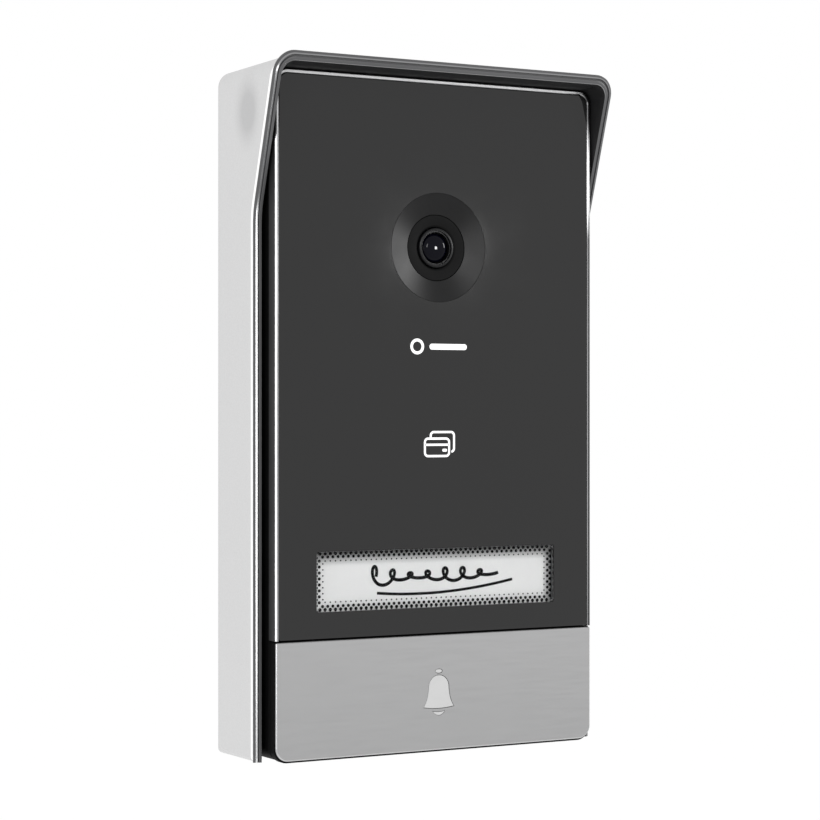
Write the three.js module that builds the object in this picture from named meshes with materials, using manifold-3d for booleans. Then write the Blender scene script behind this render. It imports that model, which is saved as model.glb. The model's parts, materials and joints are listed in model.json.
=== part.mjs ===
// Wall-mounted video door station with a rain shield, in millimetres.
// X runs to the right as a visitor sees it, Z runs up, and the visitor stands on the -Y side.
// The origin is on the wall, behind the centre of the unit. A depth is a distance from the wall
// towards the visitor, so a point at depth d has Y = -d.
import * as THREE from 'three';
import { mergeVertices } from 'three/addons/utils/BufferGeometryUtils.js';
import Module from 'manifold-3d';

const wasm = await Module();
wasm.setup();

// ---- Driving dimensions -------------------------------------------------------------------

const unitWidth = 92.5;
const unitHeight = 170;
const unitCorner = 3.5;
const unitBack = 2.2;
const unitFront = 25.6;

const shieldWidth = 99;
const shieldTop = 88.6;
const shieldBottom = -85;
const shieldCorner = 5.5;
const shieldFoot = 1.8;
const skinThickness = 1;
const skinRoof = 0.6; // the skin is thinner over the hood's roof
const skinFit = 0.2;
const skinSetback = 1;
const flangeDepth = 0.9; // the dark shell ends in a flange that the skin butts against
const flangeInset = 0.15;
const flangeRise = 1;
const hoodCrest = 87.4; // height where the hood's front edge stops leaning forward
const shellWall = 1.6;
const sideDepth = 20.3;
const hoodDepth = 32.4;
const hoodKnee = 50;
const hoodFall = 0.8;
const fitGap = 0.3;

const bracketPlate = 1.8;
const cableHole = { x: 0, z: -14, width: 34, height: 24, corner: 4 };
const cablePort = { width: 16, height: 9, corner: 3 };
const wallSlot = { x: 22, top: 70, bottom: -66, length: 9, radius: 1.95 };
const hook = { x: 34, upper: 62, lower: -30, width: 3.3, stem: 2, lip: 1.2, rise: 4 };
const hookSlot = { width: 3.9, drop: 8 };
const lockTab = { halfWidth: 8, depth: 9, rise: 2.3, screwDepth: 5.6 };

const rearFloor = 1.8;
const rearWall = 1.8;
const seamDepth = 12;
const rearInset = 0.35;
const housingWall = 2;
const housingFace = 21.6;
const housingFaceThickness = 1.8;
const post = { x: 41, z: 78.6, radius: 3.2, pilot: 1.5 };

const frameLip = 0.95;
const frameLedge = 2.6;
const frameBack = 21.9;
const ledgeFront = 23.8;
const glassBack = 24.1;
const glassFront = 25.5;
const splitHeight = -55.1;

const nameWindow = { z: -40.95, width: 69.8, height: 14.9, corner: 0.8 };
const nameCardDepth = { back: 23.4, front: 23.7 };
const lightGuideDepth = { back: 20.2, front: 23.2 };
const nameLampX = [-23, 0, 23];
const cameraHeight = 42.6;
const bezelRadius = 13.8;
const bezelThroat = 8.55;
const bezelDepth = 1.25;
const barrelRadius = 5.05;
const lensRadius = 3.75;
const infraredLampX = 24;
const lightSensorRise = 20;
const filterPitch = 7.6;
const filterSlot = { back: 9.6, front: 11.2, halfWidth: 13.1, halfHeight: 4.8 };

const mainBoard = { back: 12.6, front: 14, halfWidth: 37.2, top: 22, bottom: -76 };
const readerBoard = { z: -7, width: 58, height: 42, back: 17, front: 18 };
const terminalPitch = 10.4;
const boardScrew = { x: 32, z: -24 };
const buttonCentre = -70;
const buttonPlateThickness = 0.8;
const buttonBack = 22.6;
const presserRadius = 1.8;
const sealPocket = { radius: 5.6, floor: 20.6 };
const springX = 31;
const legX = 15;
const tamper = { x: -27, z: 6, shaft: 1.5, flange: 2.6 };
const reset = { x: 27, z: 6, radius: 1.9 };
const speaker = { x: 20, z: -57, radius: 13 };
const microphone = { x: -27, z: -72 };

// ---- Solids --------------------------------------------------------------------------------

function solidFrom(geometry) {
  const plain = geometry.clone();
  plain.deleteAttribute('normal');
  plain.deleteAttribute('uv');
  const merged = mergeVertices(plain, 1e-4);
  return new wasm.Manifold(new wasm.Mesh({
    numProp: 3,
    vertProperties: new Float32Array(merged.attributes.position.array),
    triVerts: new Uint32Array(merged.index.array),
  }));
}

function geometryFrom(solid) {
  const mesh = solid.getMesh();
  const geometry = new THREE.BufferGeometry();
  geometry.setAttribute('position', new THREE.BufferAttribute(mesh.vertProperties, 3));
  geometry.setIndex(new THREE.BufferAttribute(mesh.triVerts, 1));
  return geometry;
}

function cut(body, ...tools) {
  const solid = tools.reduce((rest, tool) => rest.subtract(solidFrom(tool)), solidFrom(body));
  return geometryFrom(solid);
}

function join(body, ...additions) {
  const solid = additions.reduce((sum, piece) => sum.add(solidFrom(piece)), solidFrom(body));
  return geometryFrom(solid);
}

function overlapOf(body, other) {
  return geometryFrom(solidFrom(body).intersect(solidFrom(other)));
}

// ---- Outlines in the X-Z plane ---------------------------------------------------------------

function roundedBox(left, right, bottom, top, topRadius, bottomRadius = topRadius) {
  const outline = new THREE.Shape();
  outline.moveTo(left + bottomRadius, bottom);
  outline.lineTo(right - bottomRadius, bottom);
  outline.absarc(right - bottomRadius, bottom + bottomRadius, bottomRadius, -Math.PI / 2, 0, false);
  outline.lineTo(right, top - topRadius);
  outline.absarc(right - topRadius, top - topRadius, topRadius, 0, Math.PI / 2, false);
  outline.lineTo(left + topRadius, top);
  outline.absarc(left + topRadius, top - topRadius, topRadius, Math.PI / 2, Math.PI, false);
  outline.lineTo(left, bottom + bottomRadius);
  outline.absarc(left + bottomRadius, bottom + bottomRadius, bottomRadius, Math.PI, Math.PI * 1.5, false);
  return outline;
}

function centredBox(x, z, width, height, radius) {
  return roundedBox(x - width / 2, x + width / 2, z - height / 2, z + height / 2, radius);
}

// Extrudes an X-Z outline between two depths.
function slab(outline, back, front, curveSegments = 3) {
  const geometry = new THREE.ExtrudeGeometry(outline, {
    depth: front - back,
    bevelEnabled: false,
    curveSegments,
  });
  return geometry.rotateX(Math.PI / 2).translate(0, -back, 0);
}

// Extrudes a depth-height outline across the object, from left to right.
function sideSlab(outline, left, right) {
  const geometry = new THREE.ExtrudeGeometry(outline, { depth: right - left, bevelEnabled: false });
  return geometry.rotateX(Math.PI / 2).rotateZ(-Math.PI / 2).translate(right, 0, 0);
}

function block(left, right, back, front, bottom, top) {
  const geometry = new THREE.BoxGeometry(right - left, front - back, top - bottom);
  return geometry.translate((left + right) / 2, -(back + front) / 2, (bottom + top) / 2);
}

// A round rod along the depth direction.
function rod(x, z, radius, back, front, sides = 16) {
  const geometry = new THREE.CylinderGeometry(radius, radius, front - back, sides);
  return geometry.translate(x, -(back + front) / 2, z);
}

// A round rod along the height.
function pillar(x, depth, radius, bottom, top, sides = 16) {
  const geometry = new THREE.CylinderGeometry(radius, radius, top - bottom, sides);
  return geometry.rotateX(Math.PI / 2).translate(x, -depth, (bottom + top) / 2);
}

// A turned body on a depth-wise axis: points are [radius, depth] round a closed section.
function turned(x, z, section, sides = 24) {
  const points = section.map(([radius, depth]) => new THREE.Vector2(radius, -depth));
  const onAxis = section[0][0] === 0;
  if (!onAxis) points.push(points[0].clone());
  const winding = points.reduce((sum, point, i) => {
    const next = points[(i + 1) % points.length];
    return sum + point.x * next.y - next.x * point.y;
  }, 0);
  if (winding < 0) points.reverse();
  return new THREE.LatheGeometry(points, sides).translate(x, 0, z);
}

function mirrored(x) {
  return [-x, x];
}

// ---- Shield and wall bracket -----------------------------------------------------------------

// Side outline of the shield: shallow sides below the knee, then a hood that flares forward.
function shieldProfile(setback) {
  const outline = new THREE.Shape();
  outline.moveTo(-1, shieldBottom - 5);
  outline.lineTo(sideDepth - setback, shieldBottom - 5);
  outline.lineTo(sideDepth - setback, hoodKnee);
  outline.lineTo(hoodDepth - setback, hoodCrest);
  outline.lineTo(hoodDepth - setback, shieldTop + 5);
  outline.lineTo(-1, shieldTop + 5);
  return sideSlab(outline, -shieldWidth, shieldWidth);
}

// Lowers the top of a shield shell towards the wall, so that the hood sheds rain to the back.
function withFall(geometry) {
  const position = geometry.attributes.position;
  for (let i = 0; i < position.count; i += 1) {
    const height = position.getZ(i);
    const depth = -position.getY(i);
    const share = Math.max(0, height - hoodKnee) / (shieldTop - hoodKnee);
    position.setZ(i, height - share * hoodFall * (1 - depth / hoodDepth));
  }
  return geometry;
}

// Cuts an arch with two legs, open at the bottom, out of a full-height outer block.
function arch(outer, inner, setback) {
  return overlapOf(cut(outer, inner), shieldProfile(setback));
}

function shieldBlock(inset, top) {
  const half = shieldWidth / 2 - inset;
  const outline = roundedBox(-half, half, shieldBottom, top, shieldCorner - inset, shieldFoot);
  return withFall(slab(outline, 0, hoodDepth, 4));
}

function shieldSkin() {
  const half = shieldWidth / 2 - skinThickness;
  const top = shieldTop - flangeRise;
  const corner = shieldCorner - skinThickness;
  const inner = roundedBox(-half, half, shieldBottom - 20, top - skinRoof, corner, 1);
  return arch(shieldBlock(0, top), withFall(slab(inner, -0.5, hoodDepth + 0.5, 4)), skinSetback);
}

// The shell's walls inside the skin, with a flange round their front edge that covers its end.
function shellWalls(room) {
  const roof = shieldTop - flangeRise - skinRoof - skinFit;
  const flange = cut(shieldBlock(flangeInset, shieldTop), shieldProfile(flangeDepth));
  return arch(join(shieldBlock(skinThickness + skinFit, roof), flange), room, 0);
}

const shellOuter = shieldWidth / 2 - skinThickness - skinFit;

function bracketHook(x, z) {
  const left = x - hook.width / 2;
  const right = x + hook.width / 2;
  const foot = z - hook.stem - fitGap;
  const lipBack = unitBack + rearFloor + fitGap;
  const lipFront = lipBack + hook.lip;
  const stem = block(left, right, bracketPlate - 0.2, lipFront, foot, z - fitGap);
  const lip = block(left, right, lipBack, lipFront, foot, z + hook.rise);
  return join(stem, lip);
}

function wallSlotCutter(x, z) {
  return slab(
    centredBox(x, z, wallSlot.radius * 2, wallSlot.length, wallSlot.radius - 0.01),
    -1,
    bracketPlate + 1,
  );
}

function lockTabSolid() {
  const { halfWidth, depth, rise, screwDepth } = lockTab;
  const floor = shieldBottom + 0.1;
  const tab = block(-halfWidth, halfWidth, 0.2, depth, floor, floor + rise);
  return cut(
    tab,
    pillar(0, screwDepth, 1.7, floor - 1, floor + rise + 1),
    pillar(0, screwDepth, 3.1, floor - 1, floor + 1.5),
  );
}

function wallBracket() {
  const innerHalf = shellOuter - shellWall;
  const ceiling = unitHeight / 2 + fitGap;
  const room = roundedBox(-innerHalf, innerHalf, shieldBottom - 20, ceiling, unitCorner - 0.6, 1);
  const walls = shellWalls(slab(room, -1, hoodDepth + 1, 4));
  const plate = slab(
    roundedBox(-innerHalf - 0.5, innerHalf + 0.5, shieldBottom, ceiling + 0.4, 3, 1),
    0,
    bracketPlate,
  );
  const ribs = mirrored(12).map((x) => (
    block(x - 0.7, x + 0.7, bracketPlate - 0.1, unitBack - 0.1, -58, -30)
  ));
  const hooks = mirrored(hook.x).flatMap((x) => [
    bracketHook(x, hook.upper),
    bracketHook(x, hook.lower),
  ]);
  const body = join(walls, plate, ...ribs, ...hooks, lockTabSolid());
  const slots = mirrored(wallSlot.x).flatMap((x) => [
    wallSlotCutter(x, wallSlot.top),
    wallSlotCutter(x, wallSlot.bottom),
  ]);
  return cut(
    body,
    slab(
      centredBox(cableHole.x, cableHole.z, cableHole.width, cableHole.height, cableHole.corner),
      -1,
      bracketPlate + 1,
    ),
    rod(tamper.x, tamper.z, tamper.shaft + 0.5, -1, bracketPlate + 1),
    rod(reset.x, reset.z, reset.radius + 0.1, -1, bracketPlate + 1),
    ...slots,
  );
}

function cableGrommet() {
  const { x, z, width, height, corner } = cableHole;
  const outline = centredBox(x, z, width - 0.4, height - 0.4, corner - 0.2);
  outline.holes.push(centredBox(x, z, cablePort.width, cablePort.height, cablePort.corner));
  return slab(outline, 0, bracketPlate + 0.2);
}

function lockingScrew() {
  const headFloor = shieldBottom + 0.2;
  const { screwDepth } = lockTab;
  const head = pillar(0, screwDepth, 2.8, headFloor, headFloor + 1.2);
  const shank = pillar(0, screwDepth, 1.3, headFloor + 1.1, headFloor + 8.6);
  const drive = pillar(0, screwDepth, 1.1, headFloor - 1, headFloor + 0.7, 6);
  return cut(join(head, shank), drive);
}

// ---- Housings ----------------------------------------------------------------------------------

const halfWidth = unitWidth / 2;
const halfHeight = unitHeight / 2;

function unitOutline(inset) {
  const radius = Math.max(unitCorner - inset, 0.8);
  const halfW = halfWidth - inset;
  const halfH = halfHeight - inset;
  return roundedBox(-halfW, halfW, -halfH, halfH, radius);
}

function postCentres() {
  return mirrored(post.x).flatMap((x) => mirrored(post.z).map((z) => [x, z]));
}

function bottomSlots(count, x, back, front) {
  const pitch = 2.6;
  return Array.from({ length: count }, (unused, i) => {
    const left = x + (i - (count - 1) / 2) * pitch - 0.6;
    return block(left, left + 1.2, back, front, -halfHeight - 1, -halfHeight + rearWall + 3);
  });
}

function rearCover() {
  const front = seamDepth;
  const floorFront = unitBack + rearFloor;
  const shell = cut(
    slab(unitOutline(rearInset), unitBack, front),
    slab(unitOutline(rearInset + rearWall), floorFront, front + 1),
  );
  const bosses = postCentres().map(([x, z]) => rod(x, z, post.radius + 0.5, unitBack + 0.5, front));
  const lockBoss = block(-5, 5, unitBack, lockTab.depth + 2.4, -halfHeight + 2.4, -74);
  const tabRoof = block(
    -lockTab.halfWidth - 2.2,
    lockTab.halfWidth + 2.2,
    unitBack,
    lockTab.depth + 2.4,
    -halfHeight + rearInset,
    -halfHeight + 4.2,
  );
  const trimmed = overlapOf(
    join(shell, ...bosses, lockBoss, tabRoof),
    slab(unitOutline(rearInset), 0, front),
  );
  const tabPocket = block(
    -lockTab.halfWidth - 0.4,
    lockTab.halfWidth + 0.4,
    0,
    lockTab.depth + 0.5,
    -halfHeight - 1,
    -halfHeight + lockTab.rise + 0.4,
  );
  const lockBore = pillar(0, lockTab.screwDepth, 1.6, -halfHeight - 2, -halfHeight + 10);
  const screwBores = postCentres().flatMap(([x, z]) => [
    rod(x, z, post.pilot + 0.1, 0, front + 1),
    rod(x, z, 3, 0, unitBack + 2),
  ]);
  const hookSlots = mirrored(hook.x).flatMap((x) => [hook.upper, hook.lower].map((z) => block(
    x - hookSlot.width / 2,
    x + hookSlot.width / 2,
    0,
    floorFront + 1,
    z - hookSlot.drop,
    z,
  )));
  const sealStep = cut(
    slab(unitOutline(rearInset - 1), front - 1, front + 1),
    slab(unitOutline(rearInset + 0.9), front - 2, front + 2),
  );
  return cut(
    trimmed,
    tabPocket,
    lockBore,
    sealStep,
    slab(centredBox(cableHole.x, cableHole.z, 24, 14, 1.5), 0, floorFront + 1),
    rod(tamper.x, tamper.z, tamper.shaft + 0.4, 0, floorFront + 1),
    rod(reset.x, reset.z, reset.radius + 0.3, 0, floorFront + 1),
    pillar(microphone.x, 8.1, 0.8, -halfHeight - 1, -halfHeight + 3),
    ...bottomSlots(7, speaker.x, 5, 7.6),
    ...screwBores,
    ...hookSlots,
  );
}

function housingSeal() {
  const outline = unitOutline(rearInset + 0.05);
  outline.holes.push(unitOutline(rearInset + 0.8));
  return slab(outline, seamDepth - 0.9, seamDepth + 0.2);
}

// Holes in front of the two infra-red lamps and the light sensor.
function lampBores(lampRadius, back, front) {
  const lamps = mirrored(infraredLampX).map((x) => rod(x, cameraHeight, lampRadius, back, front));
  return [...lamps, rod(0, cameraHeight + lightSensorRise, 1.8, back, front)];
}

function frontHousing() {
  const back = seamDepth + 0.3;
  const faceBack = housingFace - housingFaceThickness;
  const inset = 0.25;
  const shell = cut(
    slab(unitOutline(inset), back, housingFace),
    slab(unitOutline(inset + housingWall), back - 1, faceBack),
  );
  const posts = postCentres().map(([x, z]) => rod(x, z, post.radius, back, faceBack + 0.5));
  const boardPosts = mirrored(boardScrew.x).map((x) => (
    rod(x, boardScrew.z, 2.4, mainBoard.front + 0.3, faceBack + 0.5)
  ));
  const cups = mirrored(springX).map((x) => rod(x, buttonCentre, 3.9, 17.2, faceBack + 0.5));
  const body = overlapOf(
    join(shell, ...posts, ...boardPosts, ...cups),
    slab(unitOutline(inset), 0, housingFace),
  );
  const lip = cut(
    slab(buttonOutline(2), housingFace - 0.2, housingFace + 1.1),
    slab(buttonOutline(3.2), housingFace - 1, housingFace + 2),
  );
  const windowHole = centredBox(0, nameWindow.z, nameWindow.width + 1.4, nameWindow.height + 1.4, 1);
  const legSlots = mirrored(legX).map((x) => (
    block(x - 3.5, x + 3.5, 19, 23, buttonCentre - 9, buttonCentre - 6)
  ));
  return cut(
    join(body, lip),
    rod(0, cameraHeight, 9, faceBack - 1, housingFace + 1, 28),
    slab(windowHole, faceBack - 1, housingFace + 1),
    rod(0, buttonCentre, presserRadius + 0.8, faceBack - 1, housingFace + 1),
    rod(0, buttonCentre, sealPocket.radius, sealPocket.floor, housingFace + 1, 24),
    slab(centredBox(0, buttonCentre + 8.2, 14, 3.6, 1.5), faceBack - 1, housingFace + 1),
    ...legSlots,
    ...mirrored(springX).map((x) => rod(x, buttonCentre, 3, 18.2, housingFace + 1)),
    ...lampBores(2.3, faceBack - 1, housingFace + 1),
    ...postCentres().map(([x, z]) => rod(x, z, post.pilot, back - 1, faceBack - 1)),
    ...mirrored(boardScrew.x).map((x) => (
      rod(x, boardScrew.z, 1.2, mainBoard.front, faceBack - 0.6)
    )),
  );
}

function housingScrew([x, z]) {
  const head = rod(x, z, 2.6, unitBack + 0.4, unitBack + 1.9);
  const shank = rod(x, z, 1.2, unitBack + 1.8, 17);
  const drive = rod(x, z, 1, unitBack, unitBack + 1.3, 6);
  return cut(join(head, shank), drive);
}

function boardScrewSolid(x) {
  const head = rod(x, boardScrew.z, 2.2, mainBoard.back - 1.5, mainBoard.back - 0.2, 20);
  const shank = rod(x, boardScrew.z, 0.9, mainBoard.back - 0.3, mainBoard.front + 4, 16);
  return join(head, shank);
}

// ---- Front panel -----------------------------------------------------------------------------

function frameOutline(inset, bottom) {
  const radius = Math.max(unitCorner - inset, 0.9);
  return roundedBox(-halfWidth + inset, halfWidth - inset, bottom, halfHeight - inset, radius, 0.05);
}

function frontFrame() {
  const ring = cut(
    slab(frameOutline(0, splitHeight + 0.1), frameBack, unitFront),
    slab(frameOutline(frameLip, splitHeight - 5), ledgeFront, unitFront + 1),
    slab(frameOutline(frameLedge, splitHeight - 5), frameBack - 1, unitFront + 1),
  );
  return ring;
}

function panelCarrier() {
  const outline = frameOutline(frameLedge + 0.2, splitHeight + 0.2);
  const { z, width, height } = nameWindow;
  outline.holes.push(centredBox(0, z, width + 1.2, height + 1.2, 0.9));
  return cut(
    slab(outline, frameBack, ledgeFront),
    rod(0, cameraHeight, bezelRadius - 0.5, frameBack - 1, ledgeFront + 1, 32),
    ...lampBores(2.4, frameBack - 1, ledgeFront + 1),
  );
}

function frontPanel() {
  const outline = frameOutline(frameLip + 0.1, splitHeight + 0.2);
  const { z, width, height, corner } = nameWindow;
  outline.holes.push(centredBox(0, z, width, height, corner));
  return cut(
    slab(outline, glassBack, glassFront, 4),
    rod(0, cameraHeight, bezelRadius + 0.15, glassBack - 1, glassFront + 1, 48),
  );
}

function nameWindowSolid() {
  const { z, width, height, corner } = nameWindow;
  return slab(centredBox(0, z, width - 0.2, height - 0.2, corner), glassBack + 0.1, glassFront - 0.05);
}

function nameCard() {
  const { z, width, height } = nameWindow;
  const outline = centredBox(0, z, width - 0.2, height - 0.2, 0.6);
  return slab(outline, nameCardDepth.back, nameCardDepth.front);
}

function nameLightGuide() {
  const { z, width, height } = nameWindow;
  const { back, front } = lightGuideDepth;
  const plate = slab(centredBox(0, z, width + 0.6, height + 0.6, 0.8), back, front);
  const pockets = nameLampX.map((x) => rod(x, z, 2.6, back - 1, back + 1));
  return cut(plate, ...pockets);
}

function surfaceLed(x, z) {
  const body = block(x - 1.5, x + 1.5, mainBoard.front - 0.1, mainBoard.front + 0.9, z - 1.2, z + 1.2);
  return join(body, rod(x, z, 1, mainBoard.front + 0.8, mainBoard.front + 1.3, 16));
}

// ---- Camera ------------------------------------------------------------------------------------

function cameraBezel() {
  const throatFront = glassFront - bezelDepth;
  return turned(0, cameraHeight, [
    [bezelThroat, throatFront],
    [bezelRadius - 0.3, glassFront],
    [bezelRadius, glassFront],
    [bezelRadius, glassBack + 0.1],
    [bezelRadius - 0.8, glassBack - 0.2],
    [bezelRadius - 0.8, 22.2],
    [bezelThroat, 22.2],
  ], 48);
}

function cameraCover() {
  return turned(0, cameraHeight, [
    [barrelRadius + 0.25, 23.2],
    [bezelThroat - 0.2, 23.2],
    [bezelThroat - 0.2, 24.15],
    [barrelRadius + 0.55, 24.15],
    [barrelRadius + 0.25, 23.9],
  ], 28);
}

function lensBarrel() {
  return turned(0, cameraHeight, [
    [4.2, 12.7],
    [5.6, 12.7],
    [5.6, 17.6],
    [barrelRadius, 18],
    [barrelRadius, 24.2],
    [barrelRadius - 0.25, 24.45],
    [barrelRadius - 0.75, 24.45],
    [lensRadius + 0.2, 24.05],
    [lensRadius + 0.2, 22.3],
    [3, 22.3],
    [3, 16.5],
    [4.2, 16.5],
  ], 28);
}

function domeProfile(radius, rim, crown, back, steps = 8) {
  const arc = Array.from({ length: steps + 1 }, (unused, i) => {
    const angle = (Math.PI / 2) * (1 - i / steps);
    return [radius * Math.cos(angle), rim + (crown - rim) * Math.sin(angle)];
  });
  arc[0][0] = 0;
  return [...arc, [radius, back], [0, back]];
}

function lensFrontElement() {
  return turned(0, cameraHeight, domeProfile(lensRadius, 22.9, 24.1, 22.6, 6), 24);
}

function lensRearElement() {
  return turned(0, cameraHeight, [[0, 15.9], [4, 15.6], [4, 14], [0, 13.4]], 20);
}

function lensHolder() {
  const base = block(-15, 15, 8.9, 12.4, cameraHeight - 8, cameraHeight + 8);
  const collar = rod(0, cameraHeight, 7.2, 12.3, 17, 32);
  const { back, front, halfWidth: reach, halfHeight: rise } = filterSlot;
  return cut(
    join(base, collar),
    rod(0, cameraHeight, 5.9, 12.5, 18, 32),
    rod(0, cameraHeight, 3.6, 11, 13, 28),
    block(-reach, reach, back, front, cameraHeight - rise, cameraHeight + rise),
    block(-4.6, 4.6, 8, back + 0.5, cameraHeight - 4.6, cameraHeight + 4.6),
    block(-2, 2, back + 0.2, front - 0.2, cameraHeight, cameraHeight + 9),
  );
}

function irCutFrame() {
  const centre = -filterPitch / 2;
  const { back, front } = filterSlot;
  const foot = cameraHeight - 4.4;
  const top = cameraHeight + 4.4;
  const frame = block(centre - 8.6, centre + 8.6, back + 0.2, front - 0.2, foot, top);
  const openings = [-filterPitch, 0].map((x) => (
    block(x - 3.1, x + 3.1, back, front, cameraHeight - 3.1, cameraHeight + 3.1)
  ));
  return cut(frame, ...openings);
}

function filterGlass(x) {
  return block(x - 3, x + 3, 10.1, 10.7, cameraHeight - 3, cameraHeight + 3);
}

function irCutMotor() {
  const base = block(-6, 6, 8.9, 13.4, cameraHeight + 8.3, cameraHeight + 14);
  const notch = block(-2.4, 2.4, 9.6, 12.6, cameraHeight + 8, cameraHeight + 11);
  return cut(base, notch);
}

function cameraBoard() {
  const plate = slab(centredBox(0, cameraHeight, 32, 30, 1.5), 6.2, 7.2);
  return cut(plate, ...mirrored(13.6).map((x) => rod(x, cameraHeight - 12.6, 1.1, 5, 8, 16)));
}

function imageSensor() {
  return block(-4.2, 4.2, 7.3, 8.5, cameraHeight - 4.2, cameraHeight + 4.2);
}

function irBoard() {
  const plate = slab(centredBox(0, cameraHeight + 6, 62, 36, 2), 17.2, 18.2);
  const sensorHeight = cameraHeight + lightSensorRise;
  const lightSensor = block(-1.2, 1.2, 18.1, 19.2, sensorHeight - 1, sensorHeight + 1);
  return cut(join(plate, lightSensor), rod(0, cameraHeight, 7.8, 16, 19, 24));
}

function irLed(x) {
  return turned(x, cameraHeight, domeProfile(1.7, 20, 21.3, 18.3, 4), 14);
}

function cameraFlex() {
  const outline = new THREE.Shape();
  const thickness = 0.25;
  outline.moveTo(9.5, 17.2);
  outline.lineTo(9.5, 19.4);
  outline.lineTo(5.6, 23.4);
  outline.lineTo(5.6, 33);
  outline.lineTo(5.6 + thickness, 33);
  outline.lineTo(5.6 + thickness, 23.5);
  outline.lineTo(9.5 + thickness, 19.5);
  outline.lineTo(9.5 + thickness, 17.5);
  outline.lineTo(12.3, 17.5);
  outline.lineTo(12.3, 17.2);
  return sideSlab(outline, -10, -1);
}

// ---- Electronics -----------------------------------------------------------------------------

function mainBoardSolid() {
  const { back, front, halfWidth: half, top, bottom } = mainBoard;
  const plate = slab(roundedBox(-half, half, bottom, top, 2), back, front);
  const screwHoles = mirrored(boardScrew.x).map((x) => rod(x, boardScrew.z, 1.4, back - 1, front + 1));
  const lamps = nameLampX.map((x) => surfaceLed(x, nameWindow.z));
  const resetSwitch = block(reset.x - 3, reset.x + 3, 9.4, back + 0.1, reset.z - 3, reset.z + 3);
  const microphoneCan = rod(microphone.x, microphone.z, 2, 9.4, back + 0.1, 24);
  const bellLamp = surfaceLed(0, buttonCentre + 6);
  return join(cut(plate, ...screwHoles), ...lamps, bellLamp, resetSwitch, microphoneCan);
}

function processorShield() {
  const lid = block(-26, -2, mainBoard.front + 0.05, 16, -24, -2);
  const vents = [-20, -14, -8].map((x) => rod(x, -13, 1, 15, 17, 16));
  return cut(lid, ...vents);
}

function rfidBoard() {
  const { z, width, height, back, front } = readerBoard;
  return slab(centredBox(0, z, width, height, 2), back, front);
}

function rfidCoil() {
  const { z, width, height, front } = readerBoard;
  const track = 5;
  const outline = centredBox(0, z, width - 4, height - 4, 3);
  outline.holes.push(centredBox(0, z, width - 4 - 2 * track, height - 4 - 2 * track, 1.5));
  return slab(outline, front + 0.05, front + 0.25);
}

function powerCapacitor() {
  return turned(-24, -44, [[0, 4.4], [4, 4.4], [4.2, 4.7], [4.2, 12], [4, 12.4], [0, 12.4]], 20);
}

function powerInductor() {
  const base = block(-14, -2, 8.6, 12.4, -52, -40);
  return join(base, rod(-8, -46, 4.8, 7.4, 8.7, 28));
}

function terminalBlock() {
  const { x, z } = cableHole;
  const base = block(x - 11, x + 11, 2.7, 12.4, z - 6, z + 6);
  const wells = mirrored(terminalPitch / 2).flatMap((offset) => [
    rod(x + offset, z + 2, 2, 2, 6, 20),
    block(x + offset - 1.7, x + offset + 1.7, 2, 9, z - 5, z - 1.8),
  ]);
  return cut(base, ...wells);
}

function terminalScrew(offset) {
  const x = cableHole.x + offset;
  const z = cableHole.z + 2;
  const screw = rod(x, z, 1.7, 3.2, 5.7, 20);
  return cut(screw, block(x - 2, x + 2, 3, 3.8, z - 0.25, z + 0.25));
}

// ---- Sound -------------------------------------------------------------------------------------

function speakerGasket() {
  const { x, z, radius } = speaker;
  return turned(x, z, [[radius - 1.8, 4.15], [radius, 4.15], [radius, 5], [radius - 1.8, 5]], 24);
}

function speakerBasket() {
  const { x, z, radius } = speaker;
  return turned(x, z, [
    [radius - 1, 5.2],
    [radius, 5.2],
    [radius, 7.4],
    [7.6, 9.9],
    [3.2, 9.9],
    [3.2, 9.3],
    [7.2, 9.3],
    [radius - 1, 7],
  ], 24);
}

function speakerCone() {
  const { x, z, radius } = speaker;
  return turned(x, z, [
    [0, 7.6],
    [2.6, 8],
    [4, 8.4],
    [7.6, 7],
    [radius - 1.4, 5.6],
    [radius - 1.4, 6.1],
    [7.6, 7.6],
    [4, 8.9],
    [0, 8.9],
  ], 24);
}

function speakerMagnet() {
  const { x, z } = speaker;
  return turned(x, z, [[0, 10.1], [7.2, 10.1], [7.5, 10.4], [7.5, 12], [7.2, 12.3], [0, 12.3]], 24);
}

function microphoneBoot() {
  const { x, z } = microphone;
  const floor = -halfHeight + rearInset + rearWall + 0.2;
  const sleeve = block(x - 3.4, x + 3.4, 6.6, 12, floor, z + 3.4);
  const pocket = rod(x, z, 2.2, 9.1, 13, 24);
  const channel = block(x - 0.7, x + 0.7, 7.4, 8.8, -halfHeight, z + 0.7);
  const riser = rod(x, z, 0.9, 8, 10, 16);
  return cut(sleeve, pocket, channel, riser);
}

// ---- Call button -----------------------------------------------------------------------------

function buttonOutline(inset) {
  return roundedBox(
    -halfWidth + inset,
    halfWidth - inset,
    -halfHeight + inset,
    splitHeight - 0.15 - inset,
    0.4,
    Math.max(unitCorner - inset, 0.4),
  );
}

// The bell sign: a knob, a flared body and a clapper, each its own closed outline.
const bell = { width: 8.4, shoulder: 5.6, bodyTop: 4.1, bodyFoot: -3.6, knob: 0.85, clapper: 1.5 };

function bellBody(grow) {
  const half = bell.width / 2 + grow;
  const shoulder = bell.shoulder / 2 + grow;
  const foot = buttonCentre + bell.bodyFoot - grow;
  const top = buttonCentre + bell.bodyTop + grow;
  const waist = foot + 1.7;
  const outline = new THREE.Shape();
  outline.moveTo(-half, foot);
  outline.lineTo(half, foot);
  outline.quadraticCurveTo(shoulder, waist, shoulder, waist + 2);
  outline.lineTo(shoulder, top - shoulder);
  outline.absarc(0, top - shoulder, shoulder, 0, Math.PI, false);
  outline.lineTo(-shoulder, waist + 2);
  outline.quadraticCurveTo(-shoulder, waist, -half, foot);
  return outline;
}

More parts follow.
